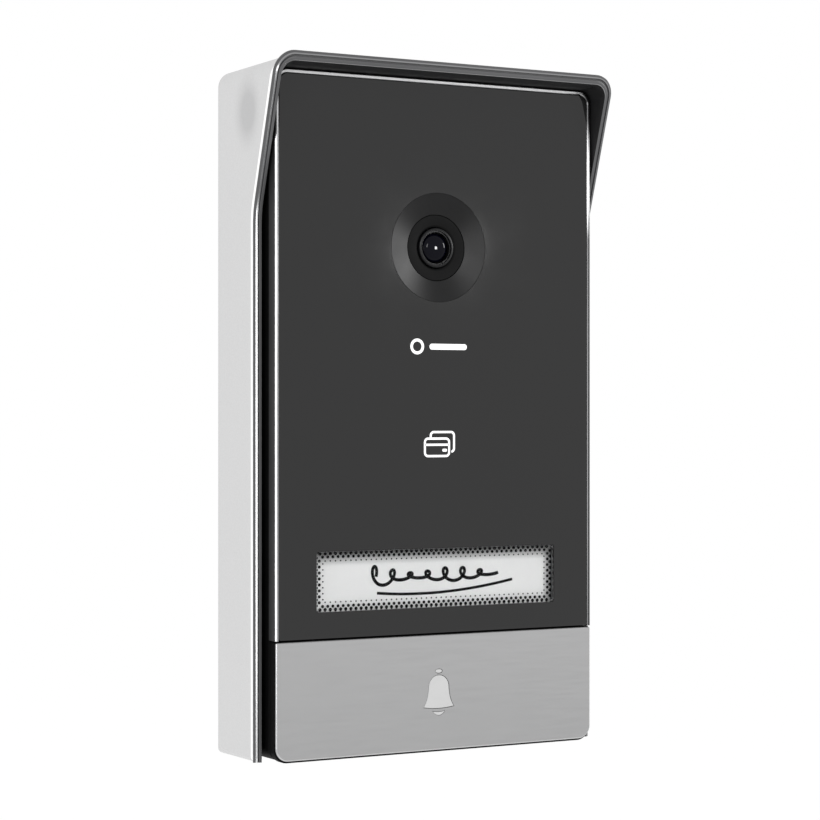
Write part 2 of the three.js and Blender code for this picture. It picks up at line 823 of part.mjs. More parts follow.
function bellKnob(grow) {
  const outline = new THREE.Shape();
  const height = buttonCentre + bell.bodyTop + 0.5;
  outline.absarc(0, height + 0.65, bell.knob + grow, 0, Math.PI * 2);
  return outline;
}

function bellClapper(grow) {
  const outline = new THREE.Shape();
  const height = buttonCentre + bell.bodyFoot - 0.7 + grow;
  outline.absarc(0, height, bell.clapper + grow, Math.PI, Math.PI * 2, false);
  return outline;
}

function bellOutlines(grow) {
  return [bellBody(grow), bellKnob(grow), bellClapper(grow)];
}

function callButtonPlate() {
  const plate = slab(buttonOutline(0), unitFront - buttonPlateThickness, unitFront);
  const signs = bellOutlines(0).map((outline) => slab(outline, unitFront - 2, unitFront + 1, 6));
  return cut(plate, ...signs);
}

function bellLightGuide() {
  const carrierFront = unitFront - buttonPlateThickness - 0.1;
  const base = slab(centredBox(0, buttonCentre, 10.6, 14, 1.5), 23.7, carrierFront);
  const signs = bellOutlines(-0.06).map((outline) => slab(outline, 24, unitFront - 0.05, 6));
  return join(base, ...signs);
}

function buttonCarrier() {
  const front = unitFront - buttonPlateThickness - 0.05;
  const skinBack = front - 1.1;
  const root = skinBack + 0.1;
  const tray = cut(
    slab(buttonOutline(0.1), buttonBack, front),
    slab(buttonOutline(1.7), buttonBack - 1, skinBack),
  );
  const lampFloor = slab(centredBox(0, buttonCentre, 13, 16, 1), buttonBack, root);
  const presser = rod(0, buttonCentre, presserRadius, 20.9, root);
  const seats = mirrored(springX).map((x) => rod(x, buttonCentre, 1.3, 21.6, root));
  const legs = mirrored(legX).flatMap((x) => [
    block(x - 3, x + 3, 18.3, root, buttonCentre - 8.6, buttonCentre - 7.4),
    block(x - 3, x + 3, 18.3, 19.4, buttonCentre - 9.9, buttonCentre - 8.5),
  ]);
  const lampPocket = slab(centredBox(0, buttonCentre, 11, 14.4, 1.6), 23.5, front + 1);
  const lampWindow = slab(centredBox(0, buttonCentre + 5, 8, 3, 1), 22, front + 1);
  return cut(join(tray, lampFloor, presser, ...legs, ...seats), lampPocket, lampWindow);
}

// A rubber washer in the pocket round the presser, below the housing's face.
function buttonSeal() {
  const back = sealPocket.floor + fitGap;
  const bore = presserRadius + fitGap;
  const rim = sealPocket.radius - 0.4;
  return turned(0, buttonCentre, [
    [bore, back],
    [rim, back],
    [rim, housingFace - 0.05],
    [rim - 1.4, housingFace - 0.05],
    [bore + 0.5, back + 0.3],
    [bore, back + 0.3],
  ], 24);
}

function coilSpring(x, z, radius, wire, back, front, turns) {
  const pitchDepth = front - back - wire;
  class Helix extends THREE.Curve {
    getPoint(t) {
      const angle = turns * Math.PI * 2 * t;
      const depth = back + wire / 2 + pitchDepth * t;
      return new THREE.Vector3(x + radius * Math.cos(angle), -depth, z + radius * Math.sin(angle));
    }
  }
  const section = new THREE.Shape().absarc(0, 0, wire / 2, 0, Math.PI * 2);
  return new THREE.ExtrudeGeometry(section, {
    steps: turns * 10,
    curveSegments: 3,
    extrudePath: new Helix(),
  });
}

function tactSwitch() {
  const { front } = mainBoard;
  const base = block(-3, 3, front + 0.05, front + 3.4, buttonCentre - 3, buttonCentre + 3);
  return cut(base, rod(0, buttonCentre, 1.9, 15.6, 19));
}

function tactPlunger() {
  return join(
    rod(0, buttonCentre, 1.6, 16.7, 18.6),
    rod(0, buttonCentre, 1.2, 18.5, 20.6),
  );
}

// ---- Tamper and reset switches -----------------------------------------------------------------

function tamperSwitch() {
  const { x, z, shaft } = tamper;
  const base = block(x - 3.4, x + 3.4, 9, 12.4, z - 3.4, z + 3.4);
  return cut(base, rod(x, z, shaft + 0.3, 8, 11.6));
}

function tamperPlunger() {
  const { x, z, shaft, flange } = tamper;
  return turned(x, z, [
    [0, 0],
    [shaft - 0.4, 0],
    [shaft, 0.4],
    [shaft, 6.3],
    [flange, 6.3],
    [flange, 7],
    [shaft, 7],
    [shaft, 11],
    [0, 11],
  ], 16);
}

function resetButton() {
  const { x, z, radius } = reset;
  return turned(x, z, [
    [0, 2.6],
    [radius, 2.6],
    [radius, 4.4],
    [radius + 0.8, 4.4],
    [radius + 0.8, 5.2],
    [1.2, 5.2],
    [1.2, 8.7],
    [0, 8.7],
  ], 16);
}

// ---- Finishes and assembly -----------------------------------------------------------------------

const finish = {
  shield: { color: 0xd6d6d8, roughness: 0.5, metalness: 0.1 },
  darkShell: { color: 0x37383a, roughness: 0.55, metalness: 0 },
  blackPlastic: { color: 0x161617, roughness: 0.6, metalness: 0 },
  frameMetal: { color: 0xbfc0c2, roughness: 0.25, metalness: 1 },
  glassPanel: { color: 0x2c2d2f, roughness: 0.12, metalness: 0 },
  clearPlastic: { color: 0xf2f5f7, roughness: 0.1, metalness: 0 },
  paper: { color: 0xf5f5f2, roughness: 0.9, metalness: 0 },
  lensGlass: { color: 0x0b0f1a, roughness: 0.05, metalness: 0 },
  buttonMetal: { color: 0xb0b1b2, roughness: 0.4, metalness: 1 },
  rubber: { color: 0x1b1b1b, roughness: 0.85, metalness: 0 },
  board: { color: 0x14512f, roughness: 0.5, metalness: 0 },
  steel: { color: 0xb4b6b9, roughness: 0.3, metalness: 1 },
  copper: { color: 0xb87333, roughness: 0.35, metalness: 1 },
  lamp: { color: 0xf7f1c4, roughness: 0.35, metalness: 0 },
};

const doorStation = new THREE.Group();

function place(name, geometry, look) {
  const mesh = new THREE.Mesh(geometry, new THREE.MeshStandardMaterial(finish[look]));
  mesh.name = name;
  doorStation.add(mesh);
}

place('wall_bracket', wallBracket(), 'darkShell');
place('shield_skin', shieldSkin(), 'shield');
place('cable_grommet', cableGrommet(), 'rubber');
place('locking_screw', lockingScrew(), 'steel');
place('rear_cover', rearCover(), 'blackPlastic');
place('housing_seal', housingSeal(), 'rubber');
place('front_housing', frontHousing(), 'blackPlastic');
postCentres().forEach((centre, i) => place(`housing_screw_${i + 1}`, housingScrew(centre), 'steel'));
mirrored(boardScrew.x).forEach((x, i) => place(`board_screw_${i + 1}`, boardScrewSolid(x), 'steel'));

place('front_frame', frontFrame(), 'frameMetal');
place('panel_carrier', panelCarrier(), 'blackPlastic');
place('front_panel', frontPanel(), 'glassPanel');
place('name_window', nameWindowSolid(), 'clearPlastic');
place('name_card', nameCard(), 'paper');
place('name_light_guide', nameLightGuide(), 'clearPlastic');

place('camera_bezel', cameraBezel(), 'darkShell');
place('camera_cover', cameraCover(), 'blackPlastic');
place('lens_barrel', lensBarrel(), 'blackPlastic');
place('lens_front_element', lensFrontElement(), 'lensGlass');
place('lens_rear_element', lensRearElement(), 'lensGlass');
place('lens_holder', lensHolder(), 'blackPlastic');
place('ir_cut_frame', irCutFrame(), 'blackPlastic');
place('ir_cut_filter', filterGlass(0), 'lensGlass');
place('clear_filter', filterGlass(-filterPitch), 'clearPlastic');
place('ir_cut_motor', irCutMotor(), 'copper');
place('image_sensor', imageSensor(), 'lensGlass');
place('camera_board', cameraBoard(), 'board');
place('camera_flex', cameraFlex(), 'copper');
place('ir_board', irBoard(), 'board');
mirrored(infraredLampX).forEach((x, i) => place(`ir_led_${i + 1}`, irLed(x), 'lensGlass'));

place('main_board', mainBoardSolid(), 'board');
place('processor_shield', processorShield(), 'steel');
place('rfid_board', rfidBoard(), 'board');
place('rfid_coil', rfidCoil(), 'copper');
place('power_capacitor', powerCapacitor(), 'steel');
place('power_inductor', powerInductor(), 'darkShell');
place('terminal_block', terminalBlock(), 'darkShell');
mirrored(terminalPitch / 2).forEach((offset, i) => {
  place(`terminal_screw_${i + 1}`, terminalScrew(offset), 'steel');
});

place('speaker_gasket', speakerGasket(), 'rubber');
place('speaker_basket', speakerBasket(), 'steel');
place('speaker_cone', speakerCone(), 'blackPlastic');
place('speaker_magnet', speakerMagnet(), 'steel');
place('microphone_boot', microphoneBoot(), 'rubber');

place('call_button_plate', callButtonPlate(), 'buttonMetal');
place('bell_light_guide', bellLightGuide(), 'clearPlastic');
place('button_carrier', buttonCarrier(), 'blackPlastic');
place('button_seal', buttonSeal(), 'rubber');
mirrored(springX).forEach((x, i) => {
  place(`button_spring_${i + 1}`, coilSpring(x, buttonCentre, 2.1, 0.45, 18.4, 22.7, 4), 'steel');
});
place('tact_switch', tactSwitch(), 'blackPlastic');
place('tact_plunger', tactPlunger(), 'lamp');
place('tamper_switch', tamperSwitch(), 'blackPlastic');
place('tamper_plunger', tamperPlunger(), 'lamp');
place('reset_button', resetButton(), 'rubber');

export default doorStation;
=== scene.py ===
# Looks of the wall-mounted video door station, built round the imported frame.
import json
import math
from collections import namedtuple

import bmesh
import bpy
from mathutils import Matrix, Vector


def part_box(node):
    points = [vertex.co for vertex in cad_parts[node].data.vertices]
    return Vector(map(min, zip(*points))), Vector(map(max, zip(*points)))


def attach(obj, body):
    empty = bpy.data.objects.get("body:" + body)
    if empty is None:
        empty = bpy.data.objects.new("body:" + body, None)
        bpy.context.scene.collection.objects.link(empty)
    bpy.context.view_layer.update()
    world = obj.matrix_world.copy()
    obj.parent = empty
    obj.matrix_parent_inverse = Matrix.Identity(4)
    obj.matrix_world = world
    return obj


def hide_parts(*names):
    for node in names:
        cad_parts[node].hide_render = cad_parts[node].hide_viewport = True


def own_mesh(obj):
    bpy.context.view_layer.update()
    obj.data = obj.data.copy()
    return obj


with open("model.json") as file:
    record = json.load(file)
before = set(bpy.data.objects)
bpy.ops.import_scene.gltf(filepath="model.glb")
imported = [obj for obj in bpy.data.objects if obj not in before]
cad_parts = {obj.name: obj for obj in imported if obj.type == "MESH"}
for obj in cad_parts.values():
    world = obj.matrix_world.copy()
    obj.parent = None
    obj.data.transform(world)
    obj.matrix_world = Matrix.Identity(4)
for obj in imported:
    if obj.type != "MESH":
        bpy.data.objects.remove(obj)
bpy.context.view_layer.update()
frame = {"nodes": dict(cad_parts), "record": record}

MM = 0.001
SCENE = bpy.context.scene
BODY_OF = {
    node: body for body, nodes in frame["record"]["behaviour"]["bodies"].items() for node in nodes
}

# ---- Sizes ----
# Lengths are millimetres, and a depth is a distance from the wall towards the visitor.
# What the frame already holds is read from it; these are the sizes that finer shapes need.

UNIT_CORNER = 3.5
SHIELD_CORNER = 5.5
REAR_CORNER = 4.3
SHIELD_FOOT = 1.2
SKIN_THICKNESS = 1.0
SKIN_ROOF = 0.6
SKIN_FIT = 0.2
SHELL_WALL = 1.6
FLANGE_DEPTH = 0.9
SIDE_DEPTH = 20.3
KNEE = 50.0
CREST = 87.4
HOOD_FALL = 0.8
DENT = {"depth": 17.3, "z": 75.5, "half_width": 4.6, "half_height": 6.5, "deep": 0.4}
PLATE_THICKNESS = 1.8
HOOKS = [(x, z) for x in (-34.0, 34.0) for z in (62, -30)]
WALL_SLOT = {"x": 22.0, "heights": (70.0, -66.0), "length": 9.0, "radius": 1.95}
FRAME_LAND = 0.95
REAR_WALL = 1.8
HOUSING_WALL = 2.0
POSTS = [(x, z) for x in (-41.0, 41.0) for z in (-78.6, 78.6)]
POST_RADIUS = 3.2
POST_BORE = 1.5
LEG_X = 15.0
FRIT_PITCH = 1.45
FRIT_ROWS = ((0.25, 0.44), (1.25, 0.4), (2.25, 0.2))  # each row's inset and dot radius


class Extent(namedtuple("Extent", "left right back front bottom top")):
    """A box, by its sides in X, depth and height."""

    @property
    def middle(self):
        return (self.left + self.right) / 2, (self.bottom + self.top) / 2

    @property
    def width(self):
        return self.right - self.left

    @property
    def height(self):
        return self.top - self.bottom


def extent(node):
    low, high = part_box(node)
    return Extent(low.x / MM, high.x / MM, -high.y / MM, -low.y / MM, low.z / MM, high.z / MM)


UNIT = extent("front_frame")
PANEL = extent("front_panel")
BUTTON = extent("call_button_plate")
SHELL = extent("wall_bracket")
SKIN = extent("shield_skin")
BEZEL = extent("camera_bezel")
COVER = extent("camera_cover")
BARREL = extent("lens_barrel")
LENS = extent("lens_front_element")
WINDOW = extent("name_window")
CARD = extent("name_card")
REAR = extent("rear_cover")
HOUSING = extent("front_housing")
GROMMET = extent("cable_grommet")
CAMERA_X, CAMERA_Z = BEZEL.middle
BELL_X, BELL_Z = extent("tact_plunger").middle
SPRING_X = abs(extent("button_spring_1").middle[0])
HOOD_DEPTH = SHELL.front
SHELL_HALF = SKIN.right - SKIN_THICKNESS - SKIN_FIT


# ---- Camera, floor and light ----

def add_camera():
    data = bpy.data.cameras.new("visitor_camera")
    data.sensor_width = 36
    data.lens = 107.15
    data.shift_y = 0.0026
    data.clip_start = 0.01
    camera = bpy.data.objects.new("visitor_camera", data)
    camera.location = Vector((-315.2, -556.9, 0.95)) * MM
    camera.rotation_euler = (math.radians(90), 0, math.radians(-30))
    SCENE.collection.objects.link(camera)
    SCENE.camera = camera


def area_light(name, place, target, size, power):
    data = bpy.data.lights.new(name, "AREA")
    data.shape = "RECTANGLE"
    data.size, data.size_y = size
    data.energy = power
    lamp = bpy.data.objects.new(name, data)
    lamp.location = place
    direction = Vector(target) - Vector(place)
    lamp.rotation_euler = direction.to_track_quat("-Z", "Y").to_euler()
    SCENE.collection.objects.link(lamp)


def add_studio():
    """White surroundings, three soft lamps, a small one for the lens's glint, and a pale floor."""
    world = bpy.data.worlds.new("studio")
    world.use_nodes = True
    background = world.node_tree.nodes["Background"]
    background.inputs["Color"].default_value = (1, 1, 1, 1)
    background.inputs["Strength"].default_value = 1.0
    SCENE.world = world
    SCENE.view_settings.view_transform = "Standard"

    lens = (0, 0, CAMERA_Z * MM)
    area_light("left_softbox", (-0.62, -0.42, 0.02), (0, 0, 0), (0.22, 0.3), 1.3)
    area_light("front_strip", (0.05, -0.82, lens[2] + 0.13), lens, (0.12, 0.12), 1.0)
    area_light("right_strip", (0.63, -0.43, lens[2] + 0.125), lens, (0.12, 0.12), 1.5)
    area_light("catch_light", (0.331, -0.583, 0.0863), lens, (0.024, 0.024), 0.2)

    side = 60
    mesh = bpy.data.meshes.new("studio_floor")
    corners = [(-side, -side, 0), (side, -side, 0), (side, side, 0), (-side, side, 0)]
    mesh.from_pydata(corners, [], [(0, 1, 2, 3)])
    floor = bpy.data.objects.new("studio_floor", mesh)
    floor.location.z = -0.5
    floor.data.materials.append(FLOOR_PAINT)
    SCENE.collection.objects.link(floor)


# ---- Materials ----

class Graph:
    """A material's node tree, with short calls for the nodes used here."""

    def __init__(self, name, **values):
        self.material = bpy.data.materials.new(name)
        self.material.use_nodes = True
        self.nodes = self.material.node_tree.nodes
        self.place = self.nodes.new("ShaderNodeTexCoord").outputs["Object"]
        self.finish(**values)

    def fill(self, node, values):
        """Gives a node's sockets their values or links. A _ stands for a space in a name."""
        for name, value in values.items():
            socket = node.inputs[name.replace("_", " ")]
            if isinstance(value, bpy.types.NodeSocket):
                self.material.node_tree.links.new(value, socket)
            elif value is not None:
                socket.default_value = value
        return node

    def finish(self, **values):
        self.fill(self.nodes["Principled BSDF"], values)
        return self.material

    def node(self, kind, output, **values):
        return self.fill(self.nodes.new("ShaderNode" + kind), values).outputs[output]

    def mapped(self, scale=(1, 1, 1), shift=(0, 0, 0), turn=(0, 0, 0)):
        return self.node("Mapping", "Vector", Vector=self.place, Location=shift, Rotation=turn,
                         Scale=scale)

    def noise(self, scale, detail=4, roughness=0.55, vector=None):
        return self.node("TexNoise", "Fac", Scale=scale, Detail=detail, Roughness=roughness,
                         Vector=vector or self.place)

    def remap(self, source, low, high, start=0.3, end=0.7):
        """Takes the range from start to end, which most of a noise lies in, to low and high."""
        return self.node("MapRange", "Result", Value=source, From_Min=start, From_Max=end,
                         To_Min=low, To_Max=high)

    def ramp(self, source, *stops):
        node = self.nodes.new("ShaderNodeValToRGB")
        elements = node.color_ramp.elements
        while len(elements) < len(stops):
            elements.new(0.5)
        for element, (position, colour) in zip(elements, stops):
            element.position = position
            element.color = (*colour, 1)
        return self.fill(node, {"Fac": source}).outputs["Color"]

    def tint(self, source, colour, spread, start=0.35, end=0.65):
        """A colour that a source takes from a little darker to a little lighter."""
        dark, light = (tuple(channel * factor for channel in colour)
                       for factor in (1 - spread, 1 + spread))
        return self.ramp(source, (start, dark), (end, light))

    def bump(self, source, strength, distance, under=None):
        return self.node("Bump", "Normal", Strength=strength, Distance=distance * MM,
                         Height=source, Normal=under)

    def mix(self, factor, a, b, blend="MIX"):
        node = self.nodes.new("ShaderNodeMix")
        node.data_type = "RGBA"
        node.blend_type = blend
        a, b = ((*end, 1) if isinstance(end, tuple) else end for end in (a, b))
        return self.fill(node, {"Factor": factor, "A": a, "B": b}).outputs["Result"]

    def along(self, axis, start, end):
        """0 to 1 between two places along an axis, in millimetres."""
        place = self.node("SeparateXYZ", axis, Vector=self.place)
        return self.remap(place, 0, 1, start * MM, end * MM)

    def sphere(self, centre, radii):
        """1 at a soft ellipsoid's centre, falling to 0 at its surface. Sizes are millimetres."""
        scale = [1 / (radius * MM) for radius in radii]
        shift = [-value * MM * factor for value, factor in zip(centre, scale)]
        node = self.nodes.new("ShaderNodeTexGradient")
        node.gradient_type = "QUADRATIC_SPHERE"
        return self.fill(node, {"Vector": self.mapped(scale, shift)}).outputs["Fac"]


def moulded(name, colour, roughness, grain=2600, depth=0.012, spread=0.08, specular=0.5):
    """Moulded plastic or rubber: spark-eroded grain, and a faint flow in tone and gloss."""
    g = Graph(name, Specular_IOR_Level=specular)
    return g.finish(Base_Color=g.tint(g.noise(38, 3), colour, spread),
                    Roughness=g.remap(g.noise(160), roughness - 0.05, roughness + 0.05),
                    Normal=g.bump(g.noise(grain, 5, 0.6), 0.35, depth))


def shield_paint():
    """Satin silver coat: flake grain under a fine orange peel, and painted shade over the dent on each
    side.
    """
    g = Graph("shield_coat", Metallic=0.15)
    tone = g.ramp(g.noise(2400, 2, 0.7), (0.35, (0.53, 0.53, 0.532)), (0.65, (0.57, 0.57, 0.572)))
    # Painted shade: a darker patch of the coat over the dent in each side.
    for x in (SKIN.left, SKIN.right):
        painted_dent_shade = g.sphere((x, -DENT["depth"] + 0.8, DENT["z"] - 0.5), (6, 8.8, 12))
        tone = g.mix(g.remap(painted_dent_shade, 0, 0.55, 0.0, 0.4), tone, (0.34, 0.34, 0.345))
    peel = g.bump(g.noise(420, 2), 0.12, 0.02)
    return g.finish(Base_Color=tone, Roughness=g.remap(g.noise(60, 3), 0.42, 0.5),
                    Normal=g.bump(g.noise(3200, 3, 0.7), 0.2, 0.006, peel))


def lined_metal(name, roughness, lay, depth, paint):
    """Metal with fine lines along the direction of the lay's smallest factor. The paint function
    gives its colour from the graph and the lines."""
    g = Graph(name, Metallic=1.0)
    lines = g.noise(1400, 5, 0.65, g.mapped(lay))
    return g.finish(Base_Color=paint(g, lines),
                    Roughness=g.remap(lines, roughness - 0.05, roughness + 0.05),
                    Normal=g.bump(lines, 0.25, depth))


def drawn_metal(name, colour, roughness, lay, depth=0.004, spread=0.05):
    return lined_metal(name, roughness, lay, depth, lambda g, lines: g.tint(lines, colour, spread))


def frame_painted_light(g, _lines):
    """Painted light: bright down the left and over the top, dull down the right, a painted glint near
    its top.
    """
    across = g.along("X", UNIT.left, UNIT.right)
    tone = g.ramp(across, (0.015, (0.36, 0.36, 0.364)), (0.06, (0.46, 0.46, 0.465)),
                  (0.96, (0.46, 0.46, 0.465)), (0.985, (0.06, 0.06, 0.061)))
    # A painted glint near the top of the right side.
    glint = g.sphere((UNIT.right, -UNIT.front, 62), (4, 8, 24))
    return g.mix(g.remap(glint, 0, 1, 0.1, 0.5), tone, (0.5, 0.5, 0.505))


def rim_painted_highlight(g, _lines):
    """Painted highlight: bright beside the straight sides, dark up the hood's slopes and lighter along
    its crest.
    """
    dark = (0.13, 0.13, 0.132)
    return g.ramp(g.along("Z", KNEE - 6, CREST), (0.0, (0.42, 0.42, 0.425)), (0.25, dark),
                  (0.85, dark), (0.95, (0.27, 0.27, 0.274)))


def spun_cone():
    """Satin cone with a turned lay round the camera's axis, which fans the light out."""
    g = Graph("spun_cone", Metallic=0.0, Anisotropic=0.85, Specular_IOR_Level=0.2)
    lay = g.nodes.new("ShaderNodeTangent")
    lay.direction_type = "RADIAL"
    lay.axis = "Y"
    return g.finish(Base_Color=g.tint(g.noise(700, 3), (0.005, 0.005, 0.0052), 0.08),
                    Roughness=g.remap(g.noise(90, 3), 0.3, 0.36), Tangent=lay.outputs["Tangent"],
                    Normal=g.bump(g.noise(5200, 3), 0.1, 0.003))


def polished(name, colour, roughness, haze=0.02, specular=0.5):
    """Glass, lacquer or film: nearly flat, with a trace of haze in the gloss."""
    g = Graph(name, Specular_IOR_Level=specular)
    return g.finish(Base_Color=g.tint(g.noise(24, 3), colour, 0.03, 0.3, 0.7),
                    Roughness=g.remap(g.noise(90), roughness, roughness + haze))


def clear(name, tint, ior):
    """Clear plastic or glass. A low ior keeps what lies behind a thin pane in its place."""
    g = Graph(name, Transmission_Weight=1.0, IOR=ior)
    brighter = tuple(min(1, channel * 1.01) for channel in tint)
    return g.finish(Base_Color=g.ramp(g.noise(40, 2), (0.3, tint), (0.7, brighter)),
                    Roughness=g.remap(g.noise(120, 3), 0.0, 0.01))


def milky(name, colour, glow):
    """White print or a diffuser, which may take a little painted glow."""
    g = Graph(name, Roughness=0.4, Emission_Strength=glow)
    tone = g.tint(g.noise(220, 3), colour, 0.015)
    return g.finish(Base_Color=tone, Emission_Color=tone, Normal=g.bump(g.noise(1500, 3), 0.1, 0.004))


def solder_mask():
    """Green lacquer over a net of copper tracks."""
    g = Graph("solder_mask")
    brick = g.fill(g.nodes.new("ShaderNodeTexBrick"), {
        "Scale": 260, "Mortar Size": 0.06, "Color1": (0.006, 0.075, 0.028, 1),
        "Color2": (0.007, 0.09, 0.034, 1), "Mortar": (0.016, 0.17, 0.06, 1),
        "Vector": g.mapped(turn=(math.radians(90), 0, 0)),
    })
    return g.finish(Base_Color=brick.outputs["Color"], Roughness=g.remap(g.noise(500, 3), 0.28, 0.42),
                    Normal=g.bump(brick.outputs["Fac"], 0.4, 0.02))


def lit_card():
    """White card with paper fibre. Its glow is painted light standing in for a backlight, and it is
    darkened by painted shadow along its top and right edges.
    """
    g = Graph("card_paper", Roughness=0.8, Emission_Strength=0.17)
    fibre = g.noise(1400, 6, 0.75)
    paper = g.ramp(fibre, (0.3, (0.50, 0.50, 0.50)), (0.7, (0.54, 0.54, 0.536)))
    top = g.along("Z", WINDOW.top - 0.2, WINDOW.top - 3.6)
    right = g.along("X", WINDOW.right + 0.6, WINDOW.right - 2.4)
    # Painted shadow along the top and right edges, which also dims the painted glow.
    painted_glow_and_shadow = g.mix(top, (0.16, 0.16, 0.16), g.ramp(right, (0, (0.1, 0.1, 0.1)), (1, (1, 1, 1))))
    return g.finish(Base_Color=g.mix(1.0, paper, painted_glow_and_shadow, "MULTIPLY"), Emission_Color=painted_glow_and_shadow,
                    Normal=g.bump(fibre, 0.2, 0.01))


# A lay: the smallest factor is along the lines.
UPWARD = (1, 1, 0.05)
SIDEWAYS = (0.06, 1, 1)

FLOOR_PAINT = moulded("floor_paint", (1.0, 1.0, 1.0), 0.9, grain=200, spread=0.0, specular=0.0)
SHIELD_COAT = shield_paint()
DARK_SHELL = moulded("dark_shell", (0.055, 0.055, 0.057), 0.42)
# A near-white copy of the coat for the skin's front edge: a painted highlight.
SHIELD_EDGE_HIGHLIGHT = polished("shield_edge_painted_highlight", (0.9, 0.9, 0.9), 0.25)
# A darker copy of the shell's plastic for the hood's inside: painted shade.
SHELL_INSIDE_SHADE = moulded("shell_inside_painted_shade", (0.011, 0.011, 0.0115), 0.5, specular=0.25)
# The rim chamfer's tone by height is a painted highlight.
SHELL_EDGE_HIGHLIGHT = lined_metal("shell_edge_painted_highlight", 0.22, UPWARD, 0.004, rim_painted_highlight)
BLACK_PLASTIC = moulded("black_plastic", (0.0025, 0.0025, 0.0026), 0.6, specular=0.06)
# The land's tone across the frame is painted light.
BRIGHT_CUT_PAINTED_LIGHT = lined_metal("bright_cut_edge_painted_light", 0.2, UPWARD, 0.004, frame_painted_light)
FRAME_SIDE = moulded("frame_side", (0.022, 0.022, 0.023), 0.4)
PANEL_GLASS = polished("panel_glass", (0.0055, 0.0055, 0.0056), 0.03, specular=0.45)
BUTTON_METAL = drawn_metal("button_metal", (0.318, 0.318, 0.32), 0.45, SIDEWAYS, 0.0015, 0.008)
BUTTON_EDGE = drawn_metal("button_cut_edge", (0.46, 0.46, 0.464), 0.22, SIDEWAYS, spread=0.02)
SPUN_CONE = spun_cone()
DISC_PLASTIC = moulded("disc_plastic", (0.0045, 0.0045, 0.0046), 0.5, specular=0.06)
BLACK_METAL = moulded("black_metal", (0.003, 0.003, 0.0035), 0.3, 4200, 0.004, specular=0.2)
LENS_COAT = polished("lens_coat", (0.0012, 0.0012, 0.0035), 0.01, haze=0.005, specular=0.1)
RUBBER = moulded("rubber", (0.018, 0.018, 0.018), 0.75, grain=1500)
STEEL = drawn_metal("plated_steel", (0.56, 0.57, 0.59), 0.3, (1, 0.2, 1))
COPPER = drawn_metal("copper", (0.78, 0.36, 0.17), 0.3, (0.3, 1, 0.3))
BOARD = solder_mask()
FLEX = polished("flex_film", (0.42, 0.19, 0.03), 0.2)
# The white print's glow is painted light.
SIGN_WHITE = milky("sign_white", (0.82, 0.82, 0.82), 0.15)
BELL_MILK = milky("bell_diffuser", (0.43, 0.43, 0.43), 0.0)
CARD_PAPER = lit_card()
INK = moulded("card_ink", (0.002, 0.002, 0.0025), 0.6, 900, 0.004, specular=0.1)
WINDOW_CLEAR = clear("window_clear", (0.98, 0.985, 0.985), 1.12)
GUIDE_MILK = milky("light_guide", (0.8, 0.82, 0.83), 0.0)
LED_RESIN = polished("led_resin", (0.05, 0.008, 0.02), 0.08)
TERMINAL_GREEN = moulded("terminal_green", (0.02, 0.2, 0.07), 0.45)
SWITCH_WHITE = moulded("switch_white", (0.7, 0.68, 0.61), 0.4)
SENSOR = polished("sensor_glass", (0.05, 0.06, 0.09), 0.05)


# ---- Outlines ----

def arc(cx, cz, rx, rz, start, end, steps):
    angles = [math.radians(start + (end - start) * i / steps) for i in range(steps + 1)]
    return [(cx + rx * math.cos(angle), cz + rz * math.sin(angle)) for angle in angles]


def circle(x, z, radius, steps=48):
    return arc(x, z, radius, radius, 0, 360, steps)[:-1]


def rounded(left, right, bottom, top, top_radius, bottom_radius=None, steps=10):
    """A rounded rectangle in X and height, anticlockwise as the visitor sees it."""
    low = top_radius if bottom_radius is None else bottom_radius
    return (
        arc(left + low, bottom + low, low, low, 180, 270, steps)
        + arc(right - low, bottom + low, low, low, 270, 360, steps)
        + arc(right - top_radius, top - top_radius, top_radius, top_radius, 0, 90, steps)
        + arc(left + top_radius, top - top_radius, top_radius, top_radius, 90, 180, steps)
    )


def centred(x, z, width, height, radius):
    return rounded(x - width / 2, x + width / 2, z - height / 2, z + height / 2, radius, steps=8)


def unit_outline(inset):
    """The station's outline from the front, drawn in by an inset."""
    high, low = (max(UNIT_CORNER - inset, least) for least in (0.5, 0.3))
    return rounded(UNIT.left + inset, UNIT.right - inset, BUTTON.bottom + inset, UNIT.top - inset,
                   high, low)


def bezier(start, control, end, steps):
    points = []
    for i in range(steps + 1):
        t = i / steps
        a, b, c = (1 - t) ** 2, 2 * t * (1 - t), t * t
        points.append(tuple(a * p + b * q + c * r for p, q, r in zip(start, control, end)))
    return points


# ---- Mesh building ----

def piece(name, vertices, faces, *materials):
    mesh = bpy.data.meshes.new(name)
    mesh.from_pydata([(x * MM, -depth * MM, z * MM) for x, depth, z in vertices], [], faces)
    for material in materials:
        mesh.materials.append(material)
    obj = bpy.data.objects.new(name, mesh)
    SCENE.collection.objects.link(obj)
    return obj


def tidy_loop(loop):
    """The loop without points that repeat."""
    return [p for i, p in enumerate(loop) if math.dist(p, loop[i - 1]) > 1e-5]


def prism(name, outline, back, front):
    """Extrudes an anticlockwise X-height outline between two depths."""
    outline = tidy_loop(outline)
    count = len(outline)
    vertices = [(x, depth, z) for depth in (front, back) for x, z in outline]
    faces = [tuple(range(count)), tuple(reversed(range(count, 2 * count)))]
    faces += [(i, count + i, count + (i + 1) % count, (i + 1) % count) for i in range(count)]
    return piece(name, vertices, faces)


def offset(loop, distance):
    """Moves an anticlockwise loop's points inwards by a distance, or outwards if negative."""
    moved = []
    for i, point in enumerate(loop):
        before, after = Vector(loop[i - 1]), Vector(loop[(i + 1) % len(loop)])
        here = Vector(point)
        a, b = (here - before).normalized(), (after - here).normalized()
        normal = Vector((-a.y - b.y, a.x + b.x)).normalized()
        stretch = 1 / max(0.5, normal.dot(Vector((-b.y, b.x))))
        moved.append(tuple(here + normal * distance * stretch))
    return moved


